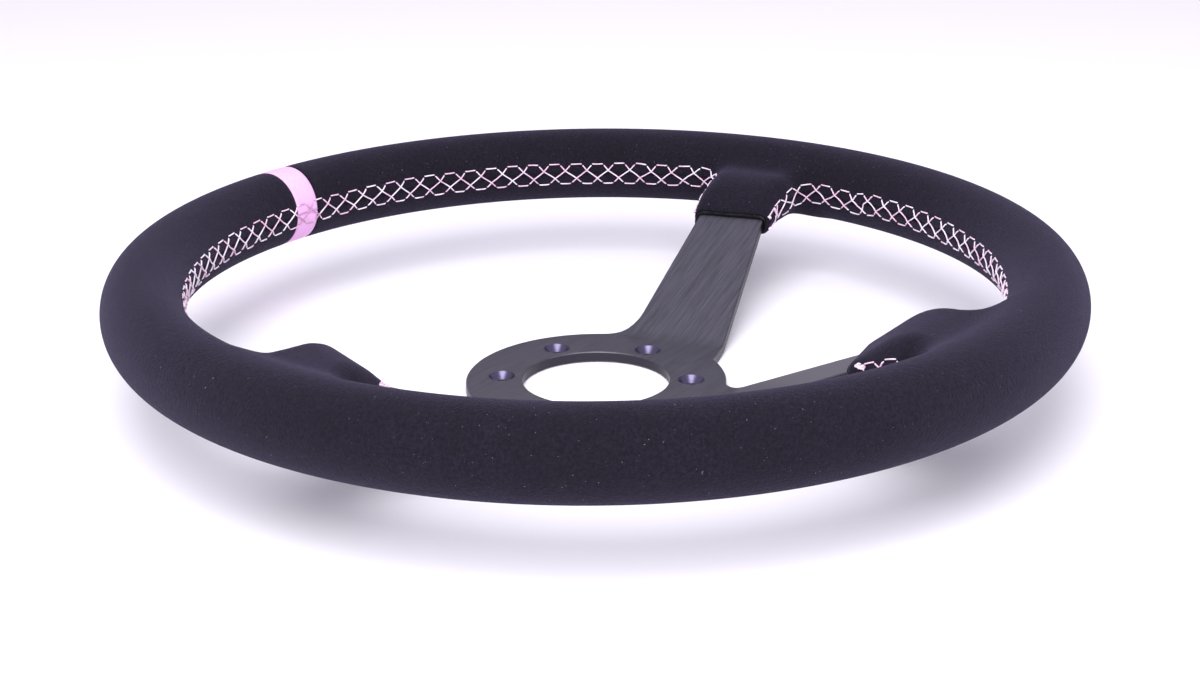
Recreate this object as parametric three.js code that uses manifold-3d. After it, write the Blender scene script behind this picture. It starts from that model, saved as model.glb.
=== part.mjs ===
// Deep-dish three-spoke motorsport steering wheel, wrapped in suede.
//
// Frame, in millimetres: the origin is the middle of the hub's back face, +Z runs along the wheel's
// axis towards the driver, +Y points to 12 o'clock and +X to 3 o'clock. The wheel stands on its hub.
// Spoke pieces are made in a local frame, with u along the spoke and s across it, and then turned.

import * as THREE from 'three';
import { mergeVertices } from 'three/addons/utils/BufferGeometryUtils.js';
import Module from 'manifold-3d';

// ---- Driving dimensions ----

const RIM_DIAMETER = 350;
const GRIP_HALF_WIDTH = 14.4; // radial half of the grip's oval section
const GRIP_HALF_DEPTH = 15.1; // axial half of the grip's oval section
const RIM_PLANE = 42.8; // height of the rim's middle plane, which sets the dish
const SUEDE = 1.2; // thickness of the suede
const GAP = 0.3; // clearance between touching pieces

const PLATE = 4; // thickness of the spoke plate
const HUB_RADIUS = 48;
const BORE_RADIUS = 27.25;
const BOLT_CIRCLE_RADIUS = 35;
const BOLT_COUNT = 6;
const BOLT_HOLE_RADIUS = 2.65;
const COUNTERSINK_RADIUS = 4.9;

const SPOKE_SLOPE = 0.49; // rise of a spoke per millimetre outwards
const SPOKE_BEND = 49; // where the plate leaves the hub's plane
const SPOKE_END = 151.5;
const SPOKE_HALF_WIDTH = 18; // at SPOKE_WIDTH_AT
const SPOKE_WIDTH_AT = 62;
const SPOKE_TAPER = 0.088; // loss of half width per millimetre outwards
const PLATE_SEAT = 45.8; // top of the plate's flat outer end

const HOOP_RADIUS = 6; // section of the steel hoop inside the grip
const LUG_THICKNESS = 3;
const LUG_HALF_WIDTH = 9;
const LUG_START = 137;
const RIVET_AT = 143.5;
const RIVET_SPREAD = 5;
const RIVET_SHANK = 2.4;
const RIVET_HEAD = 4;
const RIVET_HEAD_HEIGHT = 1.8;

// The wrapped root past its lip: its top, and its half width beyond the plate's or in all, with each
// value at a distance along the spoke.
const ROOT_TOP = [[125, 48.5], [132, 51], [145, 53]];
const ROOT_NECK_AT = 126;
const ROOT_NECK_LIFT = 5;
const ROOT_FLARE = [[134, 21.5], [141, 28], [147, 37]];
const ROOT_SINK = 3; // how far inside the grip's middle circle the root stops
const SLOT_LEAD = 10; // how far the clearance round the plate starts before the lip
const SLOT_GROW = 1.2; // share of the gap that the clearance takes, more than one for the faceting

const FLAP_LIFT = 2.6; // how far the wrapped root stands off the plate at its lip
const BEAD_WIDTH = 1.6; // black bead that seals the suede's edge
const BEAD_LIFT = 2.2;

const STRIPE_ANGLE = 87; // centre mark, sewn a little towards 3 o'clock
const STRIPE_SPAN = 4.35;
const SEAM_GAP_ANGLE = 0.12;

const THREAD_THICKNESS = 0.5;
const THREAD_TOP_ANGLE = 160; // seam band on the section, from the outer side over the top
const THREAD_BOTTOM_ANGLE = 192;

const RING_SEGMENTS = 60;
const SECTION_SEGMENTS = 16;
const HOOP_SECTION_SEGMENTS = 8;
const ROUND_SEGMENTS = 12; // rivets and bolt holes
const CURVE_SEGMENTS = 5; // each fillet in a plan view
const THREAD_STEPS = 4; // across the seam band

// Each spoke's direction, how far its middle line passes from the hub's axis, the fillets where its
// left and right edges leave the hub, where the suede ends, and where its middle meets the rim.
const SPOKES = [
  { name: 'right', angle: 11.9, offset: -13.3, leftFillet: 18, rightFillet: 4, lip: 114, rimAngle: 6.8 },
  { name: 'left', angle: 168.1, offset: 13.3, leftFillet: 4, rightFillet: 18, lip: 104, rimAngle: 173.2 },
  { name: 'lower', angle: -90, offset: 0, leftFillet: 6, rightFillet: 6, lip: 103, rimAngle: -90 },
];

const ROOT_HALF_ANGLE = 14; // half of the rim that each wrapped spoke root takes up

const TUBE_RADIUS = RIM_DIAMETER / 2 - GRIP_HALF_WIDTH;
const LUG_TOP = PLATE_SEAT - PLATE - GAP;
const REACH = 220; // past everything, for cutters

const wasm = await Module();
wasm.setup();

// ---- Solids ----

function toSolid(geometry) {
  const bare = geometry.clone();
  bare.deleteAttribute('normal');
  bare.deleteAttribute('uv');
  const merged = mergeVertices(bare, 1e-4);
  const corners = merged.index.array;
  const kept = [];
  for (let i = 0; i < corners.length; i += 3) {
    const [a, b, c] = [corners[i], corners[i + 1], corners[i + 2]];
    if (a !== b && b !== c && c !== a) {
      kept.push(a, b, c);
    }
  }
  const vertProperties = new Float32Array(merged.attributes.position.array);
  return new wasm.Manifold(new wasm.Mesh({ numProp: 3, vertProperties, triVerts: new Uint32Array(kept) }));
}

function toGeometry(body) {
  const mesh = body.getMesh();
  const geometry = new THREE.BufferGeometry();
  geometry.setAttribute('position', new THREE.BufferAttribute(new Float32Array(mesh.vertProperties), 3));
  geometry.setIndex(Array.from(mesh.triVerts));
  geometry.computeVertexNormals();
  return geometry;
}

function union(bodies) {
  return bodies.reduce((sum, body) => sum.add(body));
}

// A closed section, or one that starts and ends on the axis, turned about Z.
function revolve(points, segments) {
  const geometry = new THREE.LatheGeometry(points, segments);
  geometry.rotateX(Math.PI / 2);
  return toSolid(geometry);
}

function ovalSection(halfWidth, halfDepth, segments) {
  const points = [];
  for (let i = 0; i <= segments; i += 1) {
    const turn = (2 * Math.PI * (i % segments)) / segments;
    const radius = TUBE_RADIUS + halfWidth * Math.cos(turn);
    points.push(new THREE.Vector2(radius, RIM_PLANE + halfDepth * Math.sin(turn)));
  }
  return points;
}

function gripRing(inset) {
  const section = ovalSection(GRIP_HALF_WIDTH - inset, GRIP_HALF_DEPTH - inset, SECTION_SEGMENTS);
  return revolve(section, RING_SEGMENTS);
}

function hoopRing(grow) {
  const section = ovalSection(HOOP_RADIUS + grow, HOOP_RADIUS + grow, HOOP_SECTION_SEGMENTS);
  return revolve(section, RING_SEGMENTS);
}

// The part of space between two angles about Z, less than half a turn apart.
function sector(fromAngle, toAngle) {
  const shape = new THREE.Shape([new THREE.Vector2(0, 0)]);
  for (const angle of [fromAngle, (fromAngle + toAngle) / 2, toAngle]) {
    const turn = THREE.MathUtils.degToRad(angle);
    shape.lineTo(2 * REACH * Math.cos(turn), 2 * REACH * Math.sin(turn));
  }
  return toSolid(new THREE.ExtrudeGeometry(shape, { depth: REACH, bevelEnabled: false }));
}

// ---- The spokes' own frame ----

const halfWidthAt = (u) => SPOKE_HALF_WIDTH - SPOKE_TAPER * (u - SPOKE_WIDTH_AT);
const plateTopAt = (u) => PLATE + SPOKE_SLOPE * Math.max(0, u - SPOKE_BEND);

const PLATE_FALL = PLATE * Math.hypot(1, SPOKE_SLOPE); // plate thickness measured straight down
const BEND_SHIFT = (PLATE_FALL - PLATE) / SPOKE_SLOPE; // the lower bend lines lie further out
const SEAT_BEND = SPOKE_BEND + (PLATE_SEAT - PLATE) / SPOKE_SLOPE;

// A side view in u and z, pushed through the whole width of the spoke.
function sideCut(spoke, points) {
  const shape = new THREE.Shape(points.map(([u, z]) => new THREE.Vector2(u, z)));
  const geometry = new THREE.ExtrudeGeometry(shape, { depth: 2 * REACH, bevelEnabled: false });
  geometry.rotateX(Math.PI / 2);
  geometry.translate(0, REACH, 0);
  geometry.rotateZ(THREE.MathUtils.degToRad(spoke.angle));
  return toSolid(geometry);
}

// A plan view in u and s, pushed up through the whole height of the wheel.
function planCut(spoke, shape) {
  const options = { depth: 2 * REACH, bevelEnabled: false, curveSegments: CURVE_SEGMENTS };
  const geometry = new THREE.ExtrudeGeometry(shape, options);
  geometry.translate(0, 0, -REACH);
  geometry.rotateZ(THREE.MathUtils.degToRad(spoke.angle));
  return toSolid(geometry);
}

// A plan shape that is symmetric about the spoke's middle line, from its half widths.
function taperedPlan(spoke, halfWidths) {
  const left = halfWidths.map(([u, half]) => new THREE.Vector2(u, spoke.offset + half));
  const right = halfWidths.map(([u, half]) => new THREE.Vector2(u, spoke.offset - half));
  return new THREE.Shape([...right, ...left.reverse()]);
}

// The bent sheet that the spoke is cut from, grown on both faces.
function bentSheet(spoke, from, to, grow) {
  return sideCut(spoke, [
    [from, plateTopAt(from) - (from > SPOKE_BEND ? PLATE_FALL : PLATE) - grow],
    ...(from > SPOKE_BEND ? [] : [[SPOKE_BEND + BEND_SHIFT, -grow]]),
    [SEAT_BEND + BEND_SHIFT, PLATE_SEAT - PLATE - grow],
    [to, PLATE_SEAT - PLATE - grow],
    [to, PLATE_SEAT + grow],
    [SEAT_BEND, PLATE_SEAT + grow],
    ...(from > SPOKE_BEND ? [] : [[SPOKE_BEND, PLATE + grow]]),
    [from, plateTopAt(from) + grow],
  ]);
}

// Clearance for the plate's outer part, where it runs inside the wrapped root.
function plateSlot(spoke) {
  const from = spoke.lip - SLOT_LEAD;
  const to = SPOKE_END + GAP;
  const grow = SLOT_GROW * GAP;
  const widths = [[from, halfWidthAt(from) + grow], [to, halfWidthAt(to) + grow]];
  return bentSheet(spoke, from, to, grow).intersect(planCut(spoke, taperedPlan(spoke, widths)));
}

// Where a fillet of the given radius touches the hub and one edge of the spoke.
function filletBetween(spoke, side, radius) {
  const length = Math.hypot(1, SPOKE_TAPER);
  const along = new THREE.Vector2(1, -side * SPOKE_TAPER).divideScalar(length);
  const outward = new THREE.Vector2(SPOKE_TAPER, side).divideScalar(length);
  const start = new THREE.Vector2(0, spoke.offset + side * halfWidthAt(0)).addScaledVector(outward, radius);
  const reach = HUB_RADIUS + radius;
  const middle = start.dot(along);
  const travel = -middle + Math.sqrt(middle ** 2 - start.lengthSq() + reach ** 2);
  const centre = start.addScaledVector(along, travel);
  const onHub = centre.clone().multiplyScalar(HUB_RADIUS / reach);
  const onEdge = centre.clone().addScaledVector(outward, -radius);
  return { centre, radius, onHub, onEdge };
}

const angleFrom = (centre, point) => Math.atan2(point.y - centre.y, point.x - centre.x);

function spokeOutline(spoke) {
  const right = filletBetween(spoke, -1, spoke.rightFillet);
  const left = filletBetween(spoke, 1, spoke.leftFillet);
  const endHalf = halfWidthAt(SPOKE_END);
  const shape = new THREE.Shape();
  shape.moveTo(0, 0);
  shape.lineTo(right.onHub.x, right.onHub.y);
  const rightTurn = [angleFrom(right.centre, right.onHub), angleFrom(right.centre, right.onEdge)];
  shape.absarc(right.centre.x, right.centre.y, right.radius, ...rightTurn, true);
  shape.lineTo(SPOKE_END, spoke.offset - endHalf);
  shape.lineTo(SPOKE_END, spoke.offset + endHalf);
  const leftTurn = [angleFrom(left.centre, left.onEdge), angleFrom(left.centre, left.onHub)];
  shape.absarc(left.centre.x, left.centre.y, left.radius, ...leftTurn, true);
  return shape;
}

// ---- Spoke plate: one bent plate with the hub, three spokes and the bolt holes ----

function spokePlate() {
  const disc = new THREE.Shape();
  disc.absarc(0, 0, HUB_RADIUS, 0, 2 * Math.PI, false);
  const discOptions = { depth: PLATE, bevelEnabled: false, curveSegments: RING_SEGMENTS / 2 };
  const hub = toSolid(new THREE.ExtrudeGeometry(disc, discOptions));
  const arms = SPOKES.map((spoke) => (
    bentSheet(spoke, 0, SPOKE_END, 0).intersect(planCut(spoke, spokeOutline(spoke)))
  ));
  const bore = new THREE.CylinderGeometry(BORE_RADIUS, BORE_RADIUS, 4 * PLATE, RING_SEGMENTS);
  bore.rotateX(Math.PI / 2);
  const sink = COUNTERSINK_RADIUS - BOLT_HOLE_RADIUS;
  const boltCut = [
    new THREE.Vector2(0, -PLATE),
    new THREE.Vector2(BOLT_HOLE_RADIUS, -PLATE),
    new THREE.Vector2(BOLT_HOLE_RADIUS, PLATE - sink),
    new THREE.Vector2(COUNTERSINK_RADIUS + PLATE, 2 * PLATE),
    new THREE.Vector2(0, 2 * PLATE),
  ];
  let plate = union([hub, ...arms]).subtract(toSolid(bore));
  for (let i = 0; i < BOLT_COUNT; i += 1) {
    const turn = (2 * Math.PI * i) / BOLT_COUNT;
    const place = [BOLT_CIRCLE_RADIUS * Math.cos(turn), BOLT_CIRCLE_RADIUS * Math.sin(turn), 0];
    plate = plate.subtract(revolve(boltCut, ROUND_SEGMENTS).translate(place));
  }
  for (const spoke of SPOKES) {
    plate = plate.subtract(rivetHoles(spoke));
  }
  return plate;
}

// ---- Hoop, lugs and rivets ----

function uprightCylinder(spoke, s, radius, low, high) {
  const geometry = new THREE.CylinderGeometry(radius, radius, high - low, ROUND_SEGMENTS);
  geometry.rotateX(Math.PI / 2);
  geometry.translate(RIVET_AT, spoke.offset + s, (low + high) / 2);
  geometry.rotateZ(THREE.MathUtils.degToRad(spoke.angle));
  return toSolid(geometry);
}

function rivetHoles(spoke) {
  const radius = RIVET_SHANK + 1.5 * GAP;
  return union([-1, 1].map((side) => uprightCylinder(spoke, side * RIVET_SPREAD, radius, 0, REACH)));
}

const RIVET_LOW = LUG_TOP - LUG_THICKNESS - GAP;
const RIVET_HIGH = PLATE_SEAT + GAP;

function rivet(spoke, s) {
  const rim = RIVET_HEAD_HEIGHT / 3;
  const crown = 0.6 * RIVET_HEAD;
  const section = [
    new THREE.Vector2(0, RIVET_LOW - RIVET_HEAD_HEIGHT),
    new THREE.Vector2(crown, RIVET_LOW - 2.6 * rim),
    new THREE.Vector2(RIVET_HEAD, RIVET_LOW - rim),
    new THREE.Vector2(RIVET_HEAD, RIVET_LOW),
    new THREE.Vector2(RIVET_SHANK, RIVET_LOW),
    new THREE.Vector2(RIVET_SHANK, RIVET_HIGH),
    new THREE.Vector2(RIVET_HEAD, RIVET_HIGH),
    new THREE.Vector2(RIVET_HEAD, RIVET_HIGH + rim),
    new THREE.Vector2(crown, RIVET_HIGH + 2.6 * rim),
    new THREE.Vector2(0, RIVET_HIGH + RIVET_HEAD_HEIGHT),
  ];
  const body = revolve(section, ROUND_SEGMENTS).translate([RIVET_AT, spoke.offset + s, 0]);
  return body.rotate([0, 0, spoke.angle]);
}

function lug(spoke, grow) {
  const side = [
    [LUG_START - grow, LUG_TOP - LUG_THICKNESS - grow],
    [TUBE_RADIUS - 3, LUG_TOP - LUG_THICKNESS - grow],
    [TUBE_RADIUS - 3, LUG_TOP + grow],
    [LUG_START - grow, LUG_TOP + grow],
  ];
  const half = LUG_HALF_WIDTH + grow;
  const plan = taperedPlan(spoke, [[LUG_START - grow, half], [TUBE_RADIUS, half]]);
  return sideCut(spoke, side).intersect(planCut(spoke, plan));
}

// ---- Grip: foam moulding, suede, centre stripe ----

// The padded root where the grip runs out along a spoke. An inset makes the layers under the suede.
function spokeRoot(spoke, start, inset) {
  const under = plateTopAt(start) - PLATE_FALL - FLAP_LIFT;
  const side = [
    [start, under + inset],
    [TUBE_RADIUS - 0.875 * GRIP_HALF_WIDTH, RIM_PLANE - 0.8 * GRIP_HALF_DEPTH + inset],
    [TUBE_RADIUS - ROOT_SINK, RIM_PLANE - 0.33 * GRIP_HALF_DEPTH],
    [TUBE_RADIUS - ROOT_SINK, RIM_PLANE + 0.894 * GRIP_HALF_DEPTH - inset],
    ...ROOT_TOP.map(([u, z]) => [u, z - inset]).reverse(),
    [start, plateTopAt(start) + FLAP_LIFT - inset],
  ];
  const lipHalf = halfWidthAt(start) + FLAP_LIFT;
  const plan = taperedPlan(spoke, [
    [start, lipHalf - inset],
    [ROOT_NECK_AT, halfWidthAt(ROOT_NECK_AT) + ROOT_NECK_LIFT - inset],
    ...ROOT_FLARE.map(([u, half]) => [u, half - inset]),
    [TUBE_RADIUS - ROOT_SINK, ROOT_FLARE.at(-1)[1] - inset],
  ]);
  return sideCut(spoke, side).intersect(planCut(spoke, plan));
}

function gripFoam() {
  const inset = SUEDE + GAP;
  let foam = union([gripRing(inset), ...SPOKES.map((spoke) => spokeRoot(spoke, spoke.lip + 1, inset))]);
  foam = foam.subtract(hoopRing(GAP));
  for (const spoke of SPOKES) {
    foam = foam.subtract(plateSlot(spoke)).subtract(lug(spoke, GAP));
    for (const side of [-1, 1]) {
      const low = RIVET_LOW - RIVET_HEAD_HEIGHT - GAP;
      const high = RIVET_HIGH + RIVET_HEAD_HEIGHT + GAP;
      foam = foam.subtract(uprightCylinder(spoke, side * RIVET_SPREAD, RIVET_HEAD + 1.5 * GAP, low, high));
    }
  }
  return foam;
}

function suedeCover() {
  const outer = union([gripRing(0), ...SPOKES.map((spoke) => spokeRoot(spoke, spoke.lip, 0))]);
  const inner = union([
    gripRing(SUEDE),
    ...SPOKES.map((spoke) => spokeRoot(spoke, spoke.lip - GAP, SUEDE)),
    ...SPOKES.map((spoke) => plateSlot(spoke)),
  ]);
  const half = STRIPE_SPAN / 2 + SEAM_GAP_ANGLE;
  return outer.subtract(inner).subtract(sector(STRIPE_ANGLE - half, STRIPE_ANGLE + half));
}

function centreStripe() {
  const ring = gripRing(0).subtract(gripRing(SUEDE));
  return ring.intersect(sector(STRIPE_ANGLE - STRIPE_SPAN / 2, STRIPE_ANGLE + STRIPE_SPAN / 2));
}

// The sewn seam round the grip's inner side: a thin band over the butted edges of the suede.
function threadRun(fromAngle, toAngle) {
  const line = (lift, reverse) => Array.from({ length: THREAD_STEPS + 1 }, (_, i) => {
    const share = reverse ? 1 - i / THREAD_STEPS : i / THREAD_STEPS;
    const span = THREAD_BOTTOM_ANGLE - THREAD_TOP_ANGLE;
    const turn = THREE.MathUtils.degToRad(THREAD_TOP_ANGLE + span * share);
    const radius = TUBE_RADIUS + (GRIP_HALF_WIDTH + lift) * Math.cos(turn);
    return new THREE.Vector2(radius, RIM_PLANE + (GRIP_HALF_DEPTH + lift) * Math.sin(turn));
  });
  const section = [...line(GAP + THREAD_THICKNESS, false), ...line(GAP, true)];
  section.push(section[0].clone());
  return revolve(section, RING_SEGMENTS).intersect(sector(fromAngle, toAngle));
}

// The glossy bead that seals the suede's edge round a spoke.
function edgeBead(spoke) {
  const to = spoke.lip - GAP;
  const from = to - BEAD_WIDTH;
  const side = [
    [from, plateTopAt(from) - PLATE_FALL - BEAD_LIFT],
    [to, plateTopAt(to) - PLATE_FALL - BEAD_LIFT],
    [to, plateTopAt(to) + BEAD_LIFT],
    [from, plateTopAt(from) + BEAD_LIFT],
  ];
  const plan = taperedPlan(spoke, [from, to].map((u) => [u, halfWidthAt(u) + BEAD_LIFT]));
  return sideCut(spoke, side).intersect(planCut(spoke, plan)).subtract(plateSlot(spoke));
}

// ---- Assembly ----

const FINISHES = {
  anodised: { color: 0x3a3942, roughness: 0.42, metalness: 0.9 },
  steel: { color: 0x8c8f94, roughness: 0.45, metalness: 0.9 },
  foam: { color: 0x2b2b2d, roughness: 0.9, metalness: 0 },
  suede: { color: 0x1c1b22, roughness: 0.95, metalness: 0 },
  stripe: { color: 0xf2b8e6, roughness: 0.95, metalness: 0 },
  thread: { color: 0xf4dcf0, roughness: 0.7, metalness: 0 },
  bead: { color: 0x0c0c0e, roughness: 0.25, metalness: 0 },
};

const wheel = new THREE.Group();

function addPart(name, body, finish) {
  const mesh = new THREE.Mesh(toGeometry(body), new THREE.MeshStandardMaterial(FINISHES[finish]));
  mesh.name = name;
  wheel.add(mesh);
}

addPart('spoke_plate', spokePlate(), 'anodised');
addPart('rim_hoop', hoopRing(0), 'steel');
addPart('grip_foam', gripFoam(), 'foam');
addPart('suede_cover', suedeCover(), 'suede');
addPart('centre_stripe', centreStripe(), 'stripe');

for (const spoke of SPOKES) {
  const tab = lug(spoke, 0).subtract(hoopRing(GAP)).subtract(rivetHoles(spoke));
  addPart(`${spoke.name}_lug`, tab, 'steel');
  addPart(`${spoke.name}_rivet_upper`, rivet(spoke, RIVET_SPREAD), 'steel');
  addPart(`${spoke.name}_rivet_lower`, rivet(spoke, -RIVET_SPREAD), 'steel');
  addPart(`${spoke.name}_edge_bead`, edgeBead(spoke), 'bead');
}

const [rightRoot, leftRoot, lowerRoot] = SPOKES.map((spoke) => spoke.rimAngle);
const THREAD_RUNS = {
  upper: [rightRoot, leftRoot],
  lower_right: [lowerRoot, rightRoot],
  lower_left: [leftRoot, lowerRoot + 360],
};
for (const [name, [from, to]] of Object.entries(THREAD_RUNS)) {
  addPart(`thread_${name}`, threadRun(from + ROOT_HALF_ANGLE, to - ROOT_HALF_ANGLE), 'thread');
}

export default wheel;
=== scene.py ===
"""Deep-dish suede steering wheel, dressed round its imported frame.

The file is laid out as an add-on and run as a script. All lengths are in metres.
"""
import math

import bmesh
import bpy
import numpy as np
from bpy.props import FloatProperty, FloatVectorProperty, IntProperty, PointerProperty
from mathutils import Matrix, Vector
from mathutils.geometry import tessellate_polygon


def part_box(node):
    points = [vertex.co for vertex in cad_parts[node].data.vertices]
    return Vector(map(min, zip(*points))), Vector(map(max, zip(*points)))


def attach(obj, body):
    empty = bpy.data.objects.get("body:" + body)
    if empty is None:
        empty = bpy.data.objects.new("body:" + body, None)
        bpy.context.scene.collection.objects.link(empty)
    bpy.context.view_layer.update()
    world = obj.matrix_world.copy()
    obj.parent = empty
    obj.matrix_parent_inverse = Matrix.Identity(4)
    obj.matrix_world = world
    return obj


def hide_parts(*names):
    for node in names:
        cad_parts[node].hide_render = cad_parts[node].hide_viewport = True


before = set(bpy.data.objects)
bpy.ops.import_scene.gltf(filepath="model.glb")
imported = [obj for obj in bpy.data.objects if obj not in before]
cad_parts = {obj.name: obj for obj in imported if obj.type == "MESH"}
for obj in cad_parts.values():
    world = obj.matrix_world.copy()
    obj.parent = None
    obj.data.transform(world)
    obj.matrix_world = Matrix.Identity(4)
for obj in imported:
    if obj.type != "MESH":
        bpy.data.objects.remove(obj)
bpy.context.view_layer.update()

bl_info = {
    "name": "Suede steering wheel",
    "version": (1, 0, 0),
    "blender": (4, 5, 0),
    "location": "3D Viewport > Sidebar > Wheel",
    "description": "Dresses a three-spoke wheel frame in suede, thread and brushed plate",
    "category": "Object",
}

MM = 0.001

# ---- Sizes read from the frame ----

HOOP_LOW, HOOP_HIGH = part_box("rim_hoop")
COVER_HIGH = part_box("suede_cover")[1]
PLATE_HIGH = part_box("spoke_plate")[1]

HOOP_RADIUS = (HOOP_HIGH.z - HOOP_LOW.z) / 2
RIM_PLANE = (HOOP_HIGH.z + HOOP_LOW.z) / 2
TUBE_RADIUS = HOOP_HIGH.x - HOOP_RADIUS
GRIP_HALF_WIDTH = COVER_HIGH.x - TUBE_RADIUS
GRIP_HALF_DEPTH = COVER_HIGH.z - RIM_PLANE
SEAT = PLATE_HIGH.z  # top of the plate's flat outer ends

# ---- Sizes that the frame was designed with ----

PLATE = 4 * MM
HUB_RADIUS = 48 * MM
BORE_RADIUS = 27.25 * MM
BOLT_CIRCLE_RADIUS = 35 * MM
BOLT_COUNT = 6
BOLT_HOLE_RADIUS = 2.65 * MM
COUNTERSINK_RADIUS = 4.9 * MM
SPOKE_SLOPE = 0.49
SPOKE_BEND = 49 * MM
SPOKE_END = 151.5 * MM
SPOKE_HALF_WIDTH = 18 * MM
SPOKE_WIDTH_AT = 62 * MM
SPOKE_TAPER = 0.088
SEAT_BEND = SPOKE_BEND + (SEAT - PLATE) / SPOKE_SLOPE
BEND_ROUND = 3 * MM  # half of the stretch that each bend takes
PLATE_FALL = PLATE * math.hypot(1, SPOKE_SLOPE)  # the sloped plate's thickness, measured upright
BORE_SIDES = 120
HOLE_SIDES = 48
HOLE_EDGE = 0.3 * MM  # broken edge under each bolt hole
SINK_EDGE = 0.25 * MM  # depth of the broken edge over each countersink
SINK_FLARE = 0.12 * MM  # and its width
FLAP_LIFT = 2.6 * MM
SUEDE = 1.2 * MM
STRIPE_ANGLE = math.radians(87)
STRIPE_HALF_SPAN = math.radians(2.175)
STRIPE_GAP = math.radians(0.06)
SEAM_ANGLE = math.radians(183.5)
SEAM_HEIGHT = RIM_PLANE + GRIP_HALF_DEPTH * math.sin(SEAM_ANGLE)

# ---- Sizes of the wrapped roots ----

SLANT_LIMIT = 20 * MM  # a lip's slant goes no further out than this
ROOT_SIDE = 16 * MM  # roughly how far a root's sides lie from its middle line
LIP_SIDE = 16.5 * MM  # and how far its lip's corners do
ROOT_NEAR = 32 * MM  # half width of the strip round a spoke that holds its root
ROOT_START = 60 * MM  # how far along a spoke that strip starts
ROOT_MEETS_RIM = 148 * MM
CREST_ROUND = 7 * MM
SWELL = 5.5 * MM  # how much a root widens past its lip
SWELL_START = 3 * MM
SWELL_LENGTH = 20 * MM
SPREAD = 14 * MM  # how much more it widens into the rim
SPREAD_START = 134 * MM
SPREAD_LENGTH = 14 * MM


class Spoke:
    """A spoke's direction, its middle line's distance from the axis, its fillets and its suede lip.

    The slant is how far the lip runs outward for each step across. The crest is how far the wrapped
    root's level top lies above the rim's middle plane, and the climb is how steeply it rises there.
    """

    def __init__(self, name, angle, offset, fillets, lip, slant, flares, crest, climb):
        self.name = name
        self.offset = offset * MM
        self.fillets = {side: radius * MM for side, radius in fillets.items()}
        self.lip = lip * MM
        self.slant = slant
        self.flares = flares
        self.crest = crest * MM
        self.climb = climb
        self.rails = name == "right"
        turn = math.radians(angle)
        self.along = np.array([math.cos(turn), math.sin(turn)])
        self.across = np.array([-math.sin(turn), math.cos(turn)])

    def local(self, points):
        """Distances along the spoke, and across it from its middle line."""
        return points[..., :2] @ self.along, points[..., :2] @ self.across - self.offset

    def past_lip(self, u, s):
        """How far a point lies past the slanted lip, and how far the slant shifts the lip there."""
        shift = self.slant * np.clip(s, -SLANT_LIMIT, SLANT_LIMIT)
        return u - self.lip - shift, shift

    def world(self, u, s, z):
        """Points in the wheel's frame from the spoke's own."""
        u, s, z = np.broadcast_arrays(u, s, z)
        plan = u[..., None] * self.along + (s[..., None] + self.offset) * self.across
        return np.concatenate([plan, z[..., None]], axis=-1)


# Anticlockwise round the hub from 6 o'clock. A side is 1 to the left of the outward direction.
SPOKES = [
    Spoke("lower", -90, 0, {-1: 6, 1: 6}, 106.4, -0.28, {-1: 1.0, 1: 1.0}, 9.6, 0.83),
    Spoke("right", 11.9, -13.3, {-1: 4, 1: 18}, 113.3, -0.03, {-1: 0.75, 1: 0.1}, 5.7, 0.8),
    Spoke("left", 168.1, 13.3, {-1: 18, 1: 4}, 109.7, 0.35, {-1: 0.1, 1: 1.0}, 9.9, 1.0),
]
THREAD_RUNS = {"lower_right": (0, 1), "upper": (1, 2), "lower_left": (2, 0)}


# ---- Settings ----

def length(name, default, description):
    return FloatProperty(name=name, default=default, description=description, unit="LENGTH", precision=5)


def colour(name, default, description):
    return FloatVectorProperty(
        name=name, default=default, description=description, subtype="COLOR", size=3, min=0, max=1)


# The suedes' finishes: name, sheen, colour of the lint, and how dark the gaps in the nap are
BLACK_FINISH = ("black_suede", 0.11, (0.16, 0.15, 0.19), 0.35)
PINK_FINISH = ("pink_suede", 0.05, (0.95, 0.8, 0.93), 0.88)


class WheelSuedeSettings(bpy.types.PropertyGroup):
    grid: length("Grid", 2.7 * MM, "Spacing of the first mesh that the suede is made from")
    blend: length("Blend", 6.5 * MM, "Width of the soft blend where a root meets the rim")
    lip_round: length("Lip round", 3.4 * MM, "Radius of a root's long edges at its lip")
    groove_depth: length("Groove depth", 0.75 * MM, "Depth of the butted seam")
    groove_width: length("Groove width", 0.6 * MM, "Half width of the butted seam")
    black: colour("Black suede", (0.0115, 0.0093, 0.0185), "Colour of the black suede")
    nap: colour("Nap", (0.62, 0.52, 1.0), "Tint of the light that the suede's nap catches")
    pink: colour("Pink suede", (0.95, 0.53, 0.90), "Colour of the centre stripe")


class WheelThreadSettings(bpy.types.PropertyGroup):
    pitch: length("Pitch", 9.2 * MM, "Length of one repeat of the cross stitch")
    reach: length("Reach", 4.4 * MM, "Half of the stitches' width across the seam")
    radius: length("Thread radius", 0.28 * MM, "Radius of the sewing thread")
    unevenness: length("Unevenness", 0.3 * MM, "How far the needle strays")
    seed: IntProperty(name="Seed", default=4, description="Seed of the small unevenness of the sewing")
    tint: colour("Thread", (0.78, 0.52, 0.70), "Colour of the sewing thread")


class WheelPlateSettings(bpy.types.PropertyGroup):
    chamfer: length("Chamfer", 0.35 * MM, "Width of the broken edge round the plate")
    anodised: colour("Anodised", (0.105, 0.099, 0.128), "Colour of the anodised plate")
    bead: colour("Bead", (0.005, 0.005, 0.007), "Colour of the sealing bead")


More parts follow.
